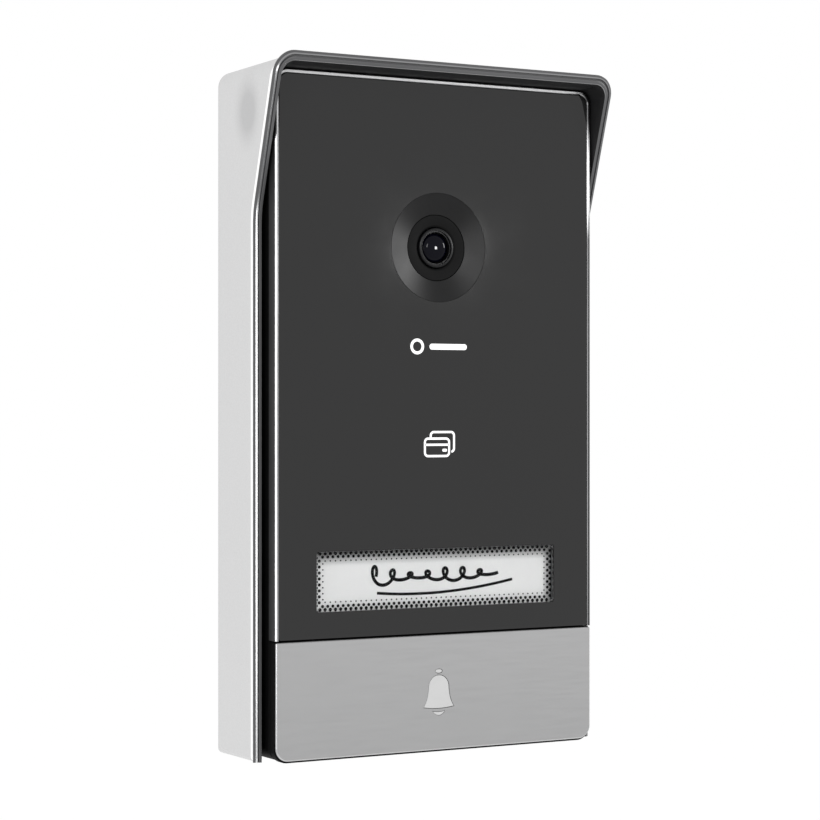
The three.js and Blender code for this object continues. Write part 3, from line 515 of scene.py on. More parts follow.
def slab(name, outline, holes, back, front, edge, *materials, steps=3, hole_edge=None):
    """A flat part with holes through it, and a small radius along all its edges, which hole_edge
    changes round the holes. Its two broad faces are shaded flat."""
    around_holes = -1 if hole_edge is None else -hole_edge / edge
    angles = [math.radians(90 * i / steps) for i in range(steps + 1)]
    profile = [(edge * (1 - math.sin(a)), back + edge * (1 - math.cos(a))) for a in angles]
    profile += [(edge * (1 - math.cos(a)), front - edge * (1 - math.sin(a))) for a in angles]
    bm = bmesh.new()
    rims = {0: [], len(profile) - 1: []}
    for loop, way in [(outline, 1)] + [(hole, around_holes) for hole in holes]:
        loop = tidy_loop(loop)
        rings = []
        for inset, depth in profile:
            ring = offset(loop, inset * way)
            rings.append([bm.verts.new((x * MM, -depth * MM, z * MM)) for x, z in ring])
        for low, high in zip(rings, rings[1:]):
            for i in range(len(loop)):
                bm.faces.new((low[i - 1], low[i], high[i], high[i - 1]))
        for level, edges in rims.items():
            ring = rings[level]
            edges += [bm.edges.get((ring[i - 1], ring[i])) for i in range(len(ring))]
    for edges in rims.values():
        bmesh.ops.triangle_fill(bm, edges=edges, use_beauty=True)
    bmesh.ops.recalc_face_normals(bm, faces=bm.faces)
    obj = piece(name, [], [], *materials)
    bm.to_mesh(obj.data)
    bm.free()
    for polygon in obj.data.polygons:
        polygon.use_smooth = abs(polygon.normal.y) < 0.999
    return obj


def loft(name, sections, materials, finish=None):
    """Joins equal sections of [x, depth, z] points, with flat ends. finish gives the material
    number of a strip of the section by its first point, if it isn't the first material."""
    finish = finish or {}
    size = len(sections[0])
    vertices = [point for section in sections for point in section]
    faces, finishes = [], []
    for i in range(len(sections) - 1):
        for k in range(size):
            a, b = i * size + k, i * size + (k + 1) % size
            faces.append((a, b, b + size, a + size))
            finishes.append(finish.get(k, 0))
    last = len(vertices) - size
    faces += [tuple(reversed(range(size))), tuple(range(last, last + size))]
    obj = piece(name, vertices, faces, *materials)
    obj.data.polygons.foreach_set("material_index", finishes + [0, 0])
    return outward(obj)


def flat_faces(obj):
    obj.modifiers.new("flat_faces", "WEIGHTED_NORMAL").keep_sharp = True
    return obj


def block(name, left, right, back, front, bottom, top):
    return prism(name, [(left, bottom), (right, bottom), (right, top), (left, top)], back, front)


def disc(name, x, z, radius, back, front):
    return prism(name, circle(x, z, radius), back, front)


def turned(name, section, place, *materials, steps=96, upright=False):
    """Revolves [radius, along] points round a depth-wise axis, or round a vertical one if upright.
    A section that starts on the axis ends on it; any other section closes on itself."""
    vertices, rings = [], []
    for radius, along in section:
        count = 1 if radius == 0 else steps
        first = len(vertices)
        rings.append([first + (i if count > 1 else 0) for i in range(steps)])
        for i in range(count):
            a, b = (radius * f(2 * math.pi * i / steps) for f in (math.cos, math.sin))
            vertices.append((place[0] + a, place[1] + b, along) if upright
                            else (place[0] + a, along, place[1] + b))
    pairs = list(zip(rings, rings[1:]))
    if section[0][0] != 0:
        pairs.append((rings[-1], rings[0]))
    faces = []
    for a, b in pairs:
        for i in range(steps):
            j = (i + 1) % steps
            faces.append(tuple(dict.fromkeys((a[i], a[j], b[j], b[i]))))
    faces = [face for face in faces if len(face) > 2]
    return outward(piece(name, vertices, faces, *materials))


def upright_tool(x, depth, radius, bottom, top, steps):
    """A cylinder on a vertical axis, which cuts a bore or, with six steps, a hexagon."""
    section = [(0, bottom), (radius, bottom), (radius, top), (0, top)]
    return turned("upright_tool", section, (x, depth), steps=steps, upright=True)


def tube(name, path, radius, material, sides=10, flat=1.0):
    """A round wire along points, with flat ends. A flat value under 1 presses it thin in depth."""
    path = [Vector(point) for point in path]
    angles = [2 * math.pi * k / sides for k in range(sides)]
    sections = []
    for before, point, after in zip(path[:1] + path, path, path[1:] + path[-1:]):
        along = (after - before).normalized()
        across = along.cross(Vector((0, 1, 0)))
        across = across.normalized() if across.length > 1e-3 else Vector((1, 0, 0))
        over = flat * across.cross(along)
        sections.append([point + radius * (math.cos(a) * across + math.sin(a) * over) for a in angles])
    return loft(name, sections, [material])


def changed(obj, change):
    """Edits a piece's mesh by a function of its bmesh."""
    bm = bmesh.new()
    bm.from_mesh(obj.data)
    change(bm)
    bm.to_mesh(obj.data)
    bm.free()
    return obj


def outward(obj):
    return changed(obj, lambda bm: bmesh.ops.recalc_face_normals(bm, faces=bm.faces))


def triangulate(obj):
    """Triangulates the faces with more than four corners."""
    return changed(obj, lambda bm: bmesh.ops.triangulate(
        bm, faces=[face for face in bm.faces if len(face.verts) > 4]))


def combine(obj, tools, operation):
    for tool in tools:
        modifier = obj.modifiers.new("combine", "BOOLEAN")
        modifier.operation = operation
        modifier.solver = "EXACT"
        modifier.object = tool
        bpy.context.view_layer.update()
        evaluated = obj.evaluated_get(bpy.context.evaluated_depsgraph_get())
        mesh = bpy.data.meshes.new_from_object(evaluated)
        obj.modifiers.clear()
        obj.data = mesh
        triangulate(obj)
        bpy.data.objects.remove(tool)
    return obj


def cut(obj, *tools):
    return combine(obj, tools, "DIFFERENCE")


def join(obj, *tools):
    return combine(obj, tools, "UNION")


def smooth(obj):
    obj.data.polygons.foreach_set("use_smooth", [True] * len(obj.data.polygons))
    return obj


def crisp(obj, angle):
    """Smooth shading, broken at edges sharper than the angle."""
    smooth(obj)
    obj.data.set_sharp_from_angle(angle=math.radians(angle))
    return obj


def stand_for(obj, node, hide=True):
    """The piece rides with the node's body and, if hide is set, hides the node."""
    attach(obj, BODY_OF[node])
    if hide:
        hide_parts(node)


def creased(obj, node, angle=35):
    """Stands a piece with flat faces and sharp creases for a node."""
    stand_for(flat_faces(crisp(obj, angle)), node)


# ---- Rain shield ----

def hood_front(z):
    """Depth of the shield's front edge at a height: straight sides, then a flared hood."""
    slope = (HOOD_DEPTH - SIDE_DEPTH) / (CREST - KNEE)
    blend = 3.0
    rise = z - KNEE
    if rise < -blend:
        return SIDE_DEPTH
    eased = rise if rise > blend else (rise + blend) ** 2 / (4 * blend)
    return min(HOOD_DEPTH, SIDE_DEPTH + slope * eased)


def fall(z, depth):
    """How far the hood's top drops towards the wall, so that rain runs off behind."""
    share = max(0, z - KNEE) / (SHELL.top - KNEE)
    return share * HOOD_FALL * (1 - depth / HOOD_DEPTH)


def arch_line(half, top, corner, foot, straight=70, turn=16):
    """Points up the left side, round the top and down the right side, feet first."""
    shoulder = top - corner
    heights = [foot + SHIELD_FOOT * i / 4 for i in range(4)]
    foot += SHIELD_FOOT
    heights += [foot + (shoulder - foot) * (i / straight) ** 0.8 for i in range(straight)]
    left = [(-half, z) for z in heights]
    left += arc(-half + corner, shoulder, corner, corner, 180, 90, turn)
    return left + [(-x, z) for x, z in reversed(left)]


def hood(name, outer, inner, section, front, materials, finish, drop_inside=0.0, dent=None,
         rear=None):
    """Lofts a section round the shield. A section point is (share of the wall from outside to
    inside, setback from the front edge), or (share, None, share of the depth) further back.
    The outer line turns into the rear line towards the wall."""
    sections = []
    for ahead, behind, (ix, iz) in zip(outer, rear or outer, inner):
        points = []
        for share, setback, *back in section:
            ox, oz = Vector(behind).lerp(Vector(ahead), back[0] if back else 1)
            x = ox + (ix - ox) * share
            z = oz + (iz - oz) * share
            edge = front(z)
            depth = edge - setback if not back else back[0] * (edge - 0.8)
            if dent and share == 0:
                x -= math.copysign(dent(x, depth, z), x)
            points.append((x, depth, z - fall(z, depth) * (1 - share * (1 - drop_inside))))
        sections.append(points)
    return loft(name, sections, materials, finish)


def side_dent(x, depth, z):
    """Depth of the soft finger dent in each side: wide at its top and narrow at its foot."""
    up = (z - DENT["z"]) / DENT["half_height"]
    across = (depth - DENT["depth"]) / (DENT["half_width"] * (1 + 0.35 * up))
    if abs(up) > 1.6 or abs(x) < SKIN.right - 0.1:
        return 0
    return DENT["deep"] * math.exp(-across * across * 1.6) * math.exp(-up ** 4 * 1.2)


def foot_corner(line):
    """Rounds the outer line's two feet inwards."""
    shaped = []
    for x, z in line:
        low = max(0, SHIELD_FOOT - (z - SKIN.bottom))
        inward = SHIELD_FOOT - math.sqrt(max(0, SHIELD_FOOT ** 2 - low ** 2))
        shaped.append((x - math.copysign(min(inward, 0.8), x), z))
    return shaped


def shield_skin():
    outer, rear = (foot_corner(arch_line(SKIN.right, SKIN.top, corner, SKIN.bottom))
                   for corner in (SHIELD_CORNER, REAR_CORNER))
    inner = arch_line(SKIN.right - SKIN_THICKNESS, SKIN.top - SKIN_ROOF,
                      SHIELD_CORNER - SKIN_THICKNESS, SKIN.bottom)
    rows = 26
    section = [(0, None, i / rows) for i in range(rows + 1)]
    section += [(0, 0.75), (0.03, 0.45), (0.12, 0.2), (0.28, 0.05), (0.5, 0), (0.9, 0), (1, 0.1)]
    section += [(1, None, 0.0)]
    setback = HOOD_DEPTH - SKIN.front
    first = rows + 2
    # The skin's front edge strips take the painted highlight material.
    obj = hood(
        "rain_shield_skin", outer, inner, section, lambda z: hood_front(z) - setback,
        [SHIELD_COAT, SHIELD_EDGE_HIGHLIGHT], dict.fromkeys(range(first - 1, first + 4), 1),
        drop_inside=1.0, dent=side_dent, rear=rear,
    )
    creased(obj, "shield_skin", 50)


def hood_shell():
    """The dark moulding inside the skin. Its flange covers the skin's end and carries, from the
    outside, a chamfer with a painted highlight, a groove and a flat rim with a long inner bevel.
    The bevel and inner wall are painted darker deeper into the hood, as shade."""
    half, inset = SHELL.right, SKIN.right - SHELL.right
    outer = arch_line(half, SHELL.top, SHIELD_CORNER - inset, SHELL.bottom)
    inner_half = SHELL_HALF - SHELL_WALL
    inner = arch_line(inner_half, UNIT.top + 0.3, UNIT_CORNER - 0.6, SHELL.bottom)
    body = 0.5  # share of the wall at which the part behind the flange begins, under the skin
    section = [(body, None, 0.0), (body, None, 0.5), (body, FLANGE_DEPTH), (0, FLANGE_DEPTH)]
    section += [(0, 0.6), (0.03, 0.55), (0.2, 0.36), (0.29, 0.04), (0.31, 0), (0.34, 0.02)]
    section += [(0.36, 0.45), (0.46, 0.45), (0.48, 0.12), (0.51, 0.06), (0.74, 0.06)]
    section += [(0.78, 0.14), (1, 2.6), (1, None, 0.62), (1, None, 0.0)]
    # The inner bevel and wall take the darker inside plastic, and the deepest strip black plastic:
    # painted shade.
    finish = {6: 1, 7: 1, 14: 1, 15: 2, 16: 2, 17: 3}
    materials = [DARK_SHELL, SHELL_EDGE_HIGHLIGHT, SHELL_INSIDE_SHADE, BLACK_PLASTIC]
    obj = hood("hood_shell", outer, inner, section, hood_front, materials, finish)
    creased(obj, "wall_bracket")


def hook(x, z):
    """An L-shaped hook that the rear cover hangs on."""
    left, right = x - 1.65, x + 1.65
    stem = block("stem", left, right, PLATE_THICKNESS - 0.2, 5.5, z - 2.3, z - 0.3)
    lip = prism("lip", rounded(left, right, z - 2.3, z + 4, 1.2, 0.2), 4.3, 5.5)
    return join(stem, lip)


def wall_plate():
    """The back plate: screw slots with sunk rims, cable hole, hooks, ribs and the locking tab."""
    half = SHELL_HALF - SHELL_WALL + 0.5
    outline = rounded(-half, half, SHELL.bottom, UNIT.top + 0.7, 3, 1)
    holes = [centred(*GROMMET.middle, GROMMET.width + 0.4, GROMMET.height + 0.4, 4)]
    sinks = []
    radius, length = WALL_SLOT["radius"], WALL_SLOT["length"]
    for side in (-1, 1):
        x = side * WALL_SLOT["x"]
        for z in WALL_SLOT["heights"]:
            holes.append(centred(x, z, radius * 2, length, radius))
            sunk = centred(x, z, radius * 2 + 2.6, length + 2.6, radius + 1.2)
            sinks.append(prism("sunk_rim", sunk, 1.3, 4))
        sinks.append(prism("moulding_pocket", centred(side * 30, 10, 20, 84, 3), -1, 0.45))
    for z in (44, 26, 8):
        sinks.append(prism("back_groove", centred(0, z, 24, 1.2, 0.5), -1, 0.45))
    holes += [circle(*extent(name).middle, 2.0, 32) for name in ("tamper_plunger", "reset_button")]
    plate = slab("wall_plate", outline, holes, 0, PLATE_THICKNESS, 0.2, DARK_SHELL)
    cut(plate, *sinks)
    foot = SHELL.bottom + 0.1
    parts = [slab("tab", centred(0, foot + 1.15, 16, 2.3, 0.3), [], 0.4, 9, 0.2)]
    parts += [hook(x, z) for x, z in HOOKS]
    parts += [block("rib", x - 0.7, x + 0.7, 1.7, 2.1, -58, -30) for x in (-12, 12)]
    cut(join(plate, *parts), upright_tool(0, 5.6, 1.7, -90, -80, 32))
    creased(plate, "wall_bracket")


# ---- Housings ----

def rear_cover():
    """The rear half of the case, with screw bosses, hook slots, sound openings and cable hole."""
    inset = UNIT.right - REAR.right
    shell = slab("rear_cover", unit_outline(inset), [], REAR.back, REAR.front, 0.3, BLACK_PLASTIC)
    floor = REAR.back + REAR_WALL
    cut(shell, prism("room", unit_outline(inset + REAR_WALL), floor, REAR.front + 1))
    join(shell, *[disc("boss", x, z, POST_RADIUS + 0.3, floor - 0.5, REAR.front - 0.05)
                  for x, z in POSTS])
    tools = []
    for x, z in POSTS:
        tools += [disc("bore", x, z, POST_BORE + 0.1, 0, 14), disc("sink", x, z, 3, 0, 4.2)]
    tools += [prism("hook_slot", centred(x, z - 4, 3.9, 8, 0.5), 0, floor + 1) for x, z in HOOKS]
    speaker_x, _ = extent("speaker_basket").middle
    slots, pitch = 7, 2.6
    for i in range(slots):
        x = speaker_x + (i - (slots - 1) / 2) * pitch
        tools.append(prism("sound_slot", centred(x, REAR.bottom, 1.2, 8, 0.5), 5, 7.6))
    microphone_x, _ = extent("microphone_boot").middle
    tools.append(upright_tool(microphone_x, 8.1, 0.8, -90, -80, 24))
    tools.append(block("tab_pocket", -8.4, 8.4, 0, 9.5, REAR.bottom - 2, REAR.bottom + 2.4))
    tools.append(prism("cable_hole", centred(*GROMMET.middle, 24, 14, 1.5), 0, floor + 1))
    cut(shell, *tools)
    creased(shell, "rear_cover")


def front_housing():
    """The front half of the case, with a low lip in the button's bay, screw posts and openings."""
    inset = UNIT.right - HOUSING.right
    face = HOUSING.front - 1.1
    shell = slab("front_housing", unit_outline(inset), [], HOUSING.back, face, 0.3, BLACK_PLASTIC)
    cut(shell, prism("room", unit_outline(inset + HOUSING_WALL), HOUSING.back - 1, face - 1.8))
    lip = prism("lip", rounded(UNIT.left + 2, UNIT.right - 2, BUTTON.bottom + 2, BUTTON.top - 2,
                               0.4, 1.5), face - 0.2, HOUSING.front)
    hollow = rounded(UNIT.left + 3.2, UNIT.right - 3.2, BUTTON.bottom + 3.2, BUTTON.top - 3.2, 0.4)
    join(shell, cut(lip, prism("lip_room", hollow, face - 1, HOUSING.front + 1)))
    join(shell, *[disc("post", x, z, POST_RADIUS, HOUSING.back, face - 1) for x, z in POSTS])
    tools = [disc("pilot", x, z, POST_BORE, HOUSING.back - 1, face - 3) for x, z in POSTS]
    tools.append(disc("camera_hole", CAMERA_X, CAMERA_Z, 9, face - 3, face + 1))
    window = centred(*WINDOW.middle, WINDOW.width + 1.6, WINDOW.height + 1.6, 1)
    tools.append(prism("window_hole", window, face - 3, face + 1))
    for side in (-1, 1):
        left, right = side * LEG_X - 3.5, side * LEG_X + 3.5
        tools.append(disc("spring_hole", side * SPRING_X, BELL_Z, 3, 15, face + 1))
        tools.append(block("leg_slot", left, right, 18, 23, BELL_Z - 9, BELL_Z - 6))
    tools.append(disc("presser_hole", BELL_X, BELL_Z, 2.6, face - 3, face + 2))
    tools.append(disc("seal_pocket", BELL_X, BELL_Z, 5.6, face - 1, face + 2))
    tools.append(prism("lamp_hole", centred(BELL_X, BELL_Z + 8.2, 14, 3.6, 1.5), face - 3, face + 1))
    cut(shell, *tools)
    creased(shell, "front_housing")


def housing_seal():
    seal = extent("housing_seal")
    inset = UNIT.right - seal.right
    ring = slab("housing_seal", unit_outline(inset), [unit_outline(inset + 0.75)],
                seal.back, seal.front, 0.2, RUBBER)
    stand_for(flat_faces(ring), "housing_seal")


# ---- Front panel ----

def front_frame():
    """Dark-sided frame with a bright cut land in front: left side, top and right side. The land's
    brightness from side to side is painted light.
    """
    front, back, ledge, cut_edge = UNIT.front, UNIT.back, PANEL.back - 0.3, 0.3
    section = [(0, back), (0, front - cut_edge), (cut_edge, front), (FRAME_LAND - 0.2, front)]
    section += [(FRAME_LAND, front - 0.2), (FRAME_LAND, ledge), (2.6, ledge), (2.6, back)]
    lines = [arch_line(UNIT.right - inset, UNIT.top - inset, max(UNIT_CORNER - inset, 0.4),
                       UNIT.bottom, straight=4, turn=20) for inset, _ in section]
    sections = [[(x, depth, z) for (x, z), (_, depth) in zip(points, section)]
                for points in zip(*lines)]
    obj = loft("front_frame_ring", sections, [FRAME_SIDE, BRIGHT_CUT_PAINTED_LIGHT], {1: 1, 2: 1, 3: 1})
    creased(obj, "front_frame", 30)


def front_panel():
    """The printed glass, with ground edges, a camera hole and the name window's opening."""
    inset = PANEL.left - UNIT.left
    outline = rounded(PANEL.left, PANEL.right, PANEL.bottom, PANEL.top, UNIT_CORNER - inset, 0.4)
    holes = [circle(CAMERA_X, CAMERA_Z, BEZEL.width / 2 + 0.02, 120),
             centred(*WINDOW.middle, WINDOW.width + 0.2, WINDOW.height + 0.2, 0.8)]
    glass = slab("front_glass", outline, holes, PANEL.back, PANEL.front, 0.15, PANEL_GLASS,
                 hole_edge=0.03)
    stand_for(flat_faces(glass), "front_panel")


def printed(name, outline, *holes):
    """A screen-printed mark: thin ink that stands a hair proud of the glass."""
    mark = slab(name, outline, holes, PANEL.front - 0.05, PANEL.front + 0.03, 0.02, SIGN_WHITE)
    stand_for(flat_faces(mark), "front_panel", hide=False)


def band(path, width):
    """A closed anticlockwise outline from a clockwise open path and the same path moved inwards."""
    inner = []
    for i, point in enumerate(path):
        before, after = Vector(path[max(i - 1, 0)]), Vector(path[min(i + 1, len(path) - 1)])
        along = (after - before).normalized()
        inner.append((point[0] + along.y * width, point[1] - along.x * width))
    return inner + list(reversed(path))


def card_sign():
    """Card reader sign: a rear card's edge peeping out behind a front card with stripe and clasp."""
    line, corner = 0.58, 1.2
    left, right, bottom, top = -4.35, 3.35, -10.45, -5.45
    x, z = (left + right) / 2, (bottom + top) / 2
    width, height = right - left, top - bottom
    printed("reader_sign_front", centred(x, z, width, height, corner),
            centred(x, z, width - 2 * line, height - 2 * line, corner - line))
    printed("reader_sign_stripe", centred(x, top - 1.85, width - 0.6, line, 0.05))
    printed("reader_sign_clasp", centred(1.75, top - 3.25, 1.4, 0.75, 0.36))
    behind_left, behind_right, behind_top = left + 1.7, right + 1.45, top + 1.65
    turns = [(behind_left + corner, behind_top - corner, 180, 90),
             (behind_right - corner, behind_top - corner, 90, 0),
             (behind_right - corner, top - 2.75, 0, -80)]
    peep = [(behind_left, top + 0.05)]
    for x, z, start, end in turns:
        peep += arc(x, z, corner, corner, start, end, 8)
    printed("reader_sign_rear", band(peep, line))


def plain_mark():
    """A plain ring and bar, a stand-in that is nobody's mark."""
    ring_x, bar_x, z = -6.3, 2.8, 17.5
    printed("plain_mark_ring", circle(ring_x, z, 2.0), circle(ring_x, z, 1.25))
    printed("plain_mark_bar", centred(bar_x, z, 11.0, 1.5, 0.7))


def name_window():
    outline = rounded(WINDOW.left, WINDOW.right, WINDOW.bottom, WINDOW.top, 0.8)
    pane = slab("name_window_pane", outline, [], WINDOW.back, WINDOW.front, 0.12, WINDOW_CLEAR)
    stand_for(flat_faces(pane), "name_window")


def window_frit():
    """Staggered rows of printed dots behind the window's edge, smaller towards its middle."""
    sides = 14
    across, upward = round(WINDOW.width / FRIT_PITCH), round(WINDOW.height / FRIT_PITCH)
    vertices, faces = [], []
    for row, (inset, radius) in enumerate(FRIT_ROWS):
        left, right = WINDOW.left + inset, WINDOW.right - inset
        bottom, top = WINDOW.bottom + inset, WINDOW.top - inset
        stagger = 0.5 * (row % 2)
        xs = [WINDOW.left + (i + stagger) * WINDOW.width / across for i in range(across + 1)]
        zs = [WINDOW.bottom + (i + stagger) * WINDOW.height / upward for i in range(upward + 1)]
        places = [(x, z) for x in xs if left <= x <= right for z in (bottom, top)]
        places += [(x, z) for z in zs if bottom + 0.5 < z < top - 0.5 for x in (left, right)]
        for x, z in places:
            x = min(max(x, WINDOW.left + radius), WINDOW.right - radius)
            z = min(max(z, WINDOW.bottom + radius), WINDOW.top - radius)
            first = len(vertices)
            rim = circle(x, z, radius, sides)
            for depth in (WINDOW.back - 0.12, WINDOW.back - 0.04):
                vertices += [(px, depth, pz) for px, pz in rim]
            faces.append(tuple(first + i for i in reversed(range(sides))))
            faces.append(tuple(first + sides + i for i in range(sides)))
            faces += [(first + i, first + (i + 1) % sides, first + sides + (i + 1) % sides,
                       first + sides + i) for i in range(sides)]
    stand_for(piece("window_frit", vertices, faces, INK), "name_window", hide=False)


def name_card():
    """The card, with a pen flourish in place of a name."""
    outline = rounded(CARD.left, CARD.right, CARD.bottom, CARD.top, 0.6)
    card = slab("name_card_sheet", outline, [], CARD.back, CARD.front, 0.05, CARD_PAPER)
    stand_for(flat_faces(card), "name_card")
    front = CARD.front + 0.04
    _, z = CARD.middle
    wave, steps = [], 240
    for i in range(steps + 1):
        t = i / steps
        swing = 2.7 * (1 - 0.55 * t) * (0.65 + 0.35 * math.cos(9 * t))
        x = -19 + 36 * t + 1.7 * math.sin(2 * math.pi * (7 * t + 0.25))
        wave.append((x, front, z + 0.7 + swing * math.sin(2 * math.pi * 7 * t)))
    underline = [(x, front, height) for x, height in
                 bezier((-17, z - 3.4), (2, z - 5.2), (23, z - 1.2), 40)]
    for name, path, radius in (("pen_wave", wave, 0.44), ("pen_underline", underline, 0.36)):
        stroke = tube(name, path, radius, INK, sides=12, flat=0.1)
        stand_for(smooth(stroke), "name_card", hide=False)


# ---- Camera ----

def camera_bezel():
    """The shallow cone round the lens, with an eased rim and a small step at its throat."""
    rim, throat = BEZEL.width / 2, COVER.width / 2 + 0.08
    front, floor = BEZEL.front, COVER.front + 0.1
    section = [(throat, BEZEL.back), (throat, floor - 0.05), (throat + 0.05, floor)]
    section += [(rim - 0.06, front), (rim, front - 0.04), (rim, 24.2), (rim - 0.8, 23.9)]
    section += [(rim - 0.8, BEZEL.back)]
    obj = turned("camera_bezel", section, (CAMERA_X, CAMERA_Z), SPUN_CONE, steps=144)
    stand_for(crisp(obj, 25), "camera_bezel")


def camera_cover():
    """The flat disc in the cone, dished a little round the barrel."""
    outer, inner = COVER.width / 2, BARREL.width / 2 - 0.3
    front, back = COVER.front, COVER.back
    section = [(inner, back), (outer, back), (outer, front - 0.12), (outer - 0.12, front)]
    section += [(inner + 0.55, front), (inner + 0.42, front - 0.05), (inner, front - 0.35)]
    obj = turned("camera_cover", section, (CAMERA_X, CAMERA_Z), DISC_PLASTIC)
    stand_for(crisp(obj, 25), "camera_cover")


def lens_barrel():
    """Barrel with a rounded nose, a sloping mouth and a step down to the glass."""
    nose = 5.05
    front, back = BARREL.front, BARREL.back
    section = [(4.2, back), (5.6, back), (5.6, 17.6), (nose, 18), (nose, front - 0.3)]
    section += [(nose - 0.09, front - 0.09), (nose - 0.3, front), (nose - 0.6, front)]
    section += [(nose - 0.7, front - 0.06), (4.3, front - 0.32), (4.28, front - 0.42)]
    section += [(4.02, front - 0.42), (3.98, front - 0.5), (3.95, 22.3), (3, 22.3), (3, 16.5)]
    section += [(4.2, 16.5)]
    obj = turned("lens_barrel", section, (CAMERA_X, CAMERA_Z), BLACK_METAL)
    stand_for(crisp(obj, 25), "lens_barrel")


def lens_front():
    """Front element: nearly flat in the middle and turned down steeply at its rim."""
    radius, steps = LENS.width / 2, 20
    section = []
    for i in range(steps + 1):
        reach = radius * i / steps
        drop = reach * reach / 70 + 0.85 * (reach / radius) ** 7
        section.append((reach, LENS.front - drop))
    section += [(radius, LENS.back), (0, LENS.back)]
    obj = turned("lens_front_glass", section, (CAMERA_X, CAMERA_Z), LENS_COAT)
    stand_for(crisp(obj, 40), "lens_front_element")


# ---- Call button ----

def bell_body(grow):
    """The bell's outline, centred on the button: a crown, sides, a flared foot and a bowed sill."""
    half, waist, shoulder = 4.5 + grow, 3.2 + grow, 3.0 + grow
    foot, crown = -3.66 - grow, 4.45 + grow
    right = bezier((half, foot), (waist + 0.25, foot + 1.5), (waist, foot + 3.3), 8)
    right += bezier((waist, foot + 3.3), (shoulder, foot + 4.4), (shoulder, crown - shoulder), 4)[1:]
    right += arc(0, crown - shoulder, shoulder, shoulder, 0, 90, 14)[1:]
    sill = bezier((-half, foot), (0, foot - 0.75), (half, foot), 12)
    return sill[:-1] + right + [(-x, z) for x, z in reversed(right[1:-1])]


def bell_outlines(grow):
    """The bell's body, a flattened knob above it and a crescent below it."""
    half, tip = 1.95 + grow, -4.62 + grow
    knob = arc(0, 5.42, 1.05 + grow, 0.56 + grow, 0, 360, 32)[:-1]
    below = bezier((-half, tip), (0, -6.9 - grow), (half, tip), 14)
    above = bezier((half, tip), (0, -5.1 + grow), (-half, tip), 14)
    shapes = (bell_body(grow), knob, below + above[1:-1])
    return [[(x + BELL_X, z + BELL_Z) for x, z in shape] for shape in shapes]


def button_outline(inset, below=0.0):
    """The button's outline, drawn in by an inset and by a little more below."""
    low = max(UNIT_CORNER - inset, 0.4)
    return rounded(BUTTON.left + inset, BUTTON.right - inset, BUTTON.bottom + inset + below,
                   BUTTON.top - inset, 0.4, low, steps=12)


def call_button_plate():
    """A plate with a bright cut bevel, set a little inside the black tray's outline."""
    bevel = 0.3
    base = slab("call_button_face", button_outline(0.15, below=0.35), bell_outlines(0), BUTTON.back,
                BUTTON.front, bevel, BUTTON_METAL, BUTTON_EDGE, steps=2, hole_edge=0.06)
    edge = BUTTON.front * MM
    for polygon in base.data.polygons:
        on_bevel = -polygon.center.y > edge - bevel * MM and polygon.normal.y > -0.98
        near_bell = abs(polygon.center.x) < 8 * MM and polygon.center.z > (BELL_Z - 9) * MM
        polygon.material_index = int(on_bevel and not near_bell)
    stand_for(flat_faces(base), "call_button_plate")


def bell_guide():
    guide = extent("bell_light_guide")
    base = slab("bell_light_guide", centred(guide.middle[0], BELL_Z, 10.6, 14, 1.5), [], guide.back,
                BUTTON.back - 0.1, 0.1, BELL_MILK)
    join(base, *[slab("sign", shape, [], BUTTON.back - 0.6, guide.front, 0.1)
                 for shape in bell_outlines(-0.07)])
    creased(base, "bell_light_guide", 40)


def button_carrier():
    """The black tray behind the plate, with its presser, spring seats and snap legs."""
    front = BUTTON.back - 0.05
    skin = front - 1.1
    floor_back = 22.6
    tray = slab("button_carrier", button_outline(0.0), [], floor_back, front, 0.12, BLACK_PLASTIC)
    cut(tray, prism("room", button_outline(1.7), floor_back - 1, skin))
    parts = [prism("lamp_floor", centred(BELL_X, BELL_Z, 13, 16, 1), floor_back, skin + 0.1)]
    parts.append(disc("presser", BELL_X, BELL_Z, 1.8, 20.9, skin + 0.1))
    tip = extent("button_carrier").back
    for side in (-1, 1):
        parts.append(disc("spring_seat", side * SPRING_X, BELL_Z, 1.3, 21.6, skin + 0.1))
        left, right = side * LEG_X - 3, side * LEG_X + 3
        parts.append(block("leg", left, right, tip, skin + 0.1, BELL_Z - 8.6, BELL_Z - 7.4))
        parts.append(block("barb", left, right, tip, tip + 1.1, BELL_Z - 9.9, BELL_Z - 8.5))
    join(tray, *parts)
    cut(
        tray,
        prism("lamp_pocket", centred(BELL_X, BELL_Z, 11, 14.4, 1.6), 23.5, front + 1),
        prism("lamp_window", centred(BELL_X, BELL_Z + 5, 8, 3, 1), 22, front + 1),
    )
    creased(tray, "button_carrier")


def button_springs():
    """Coil springs with closed end turns."""
    travel, wire, turns, steps = 0.8, 0.225, 5.5, 24
    for node in ("button_spring_1", "button_spring_2"):
        spring = extent(node)
        x, z = spring.middle
        radius = spring.width / 2 - wire
        path = []
        for i in range(int(turns * steps) + 1):
            angle = 2 * math.pi * i / steps
            share = min(max((i / steps - 0.75) / (turns - 1.5), 0), 1)
            depth = spring.back + wire + (spring.front - spring.back - 2 * wire) * share
            path.append((x + radius * math.cos(angle), depth, z + radius * math.sin(angle)))
        coil = smooth(tube(node + "_coil", path, wire, STEEL))
        stand_for(coil, node)
        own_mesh(coil)


# ---- Screws ----

def threaded(radius, start, end, pitch=0.8):
    """A screw shank's section, from start to end: a thread drawn as close rings."""
    count = max(1, round(abs(end - start) / pitch))
    step = (end - start) / count
    root = radius * 0.78
    points = []
    for i in range(count):
        points += [(root, start + step * i), (radius, start + step * (i + 0.5))]
    return points + [(root, end), (0, end + step * 0.6)]


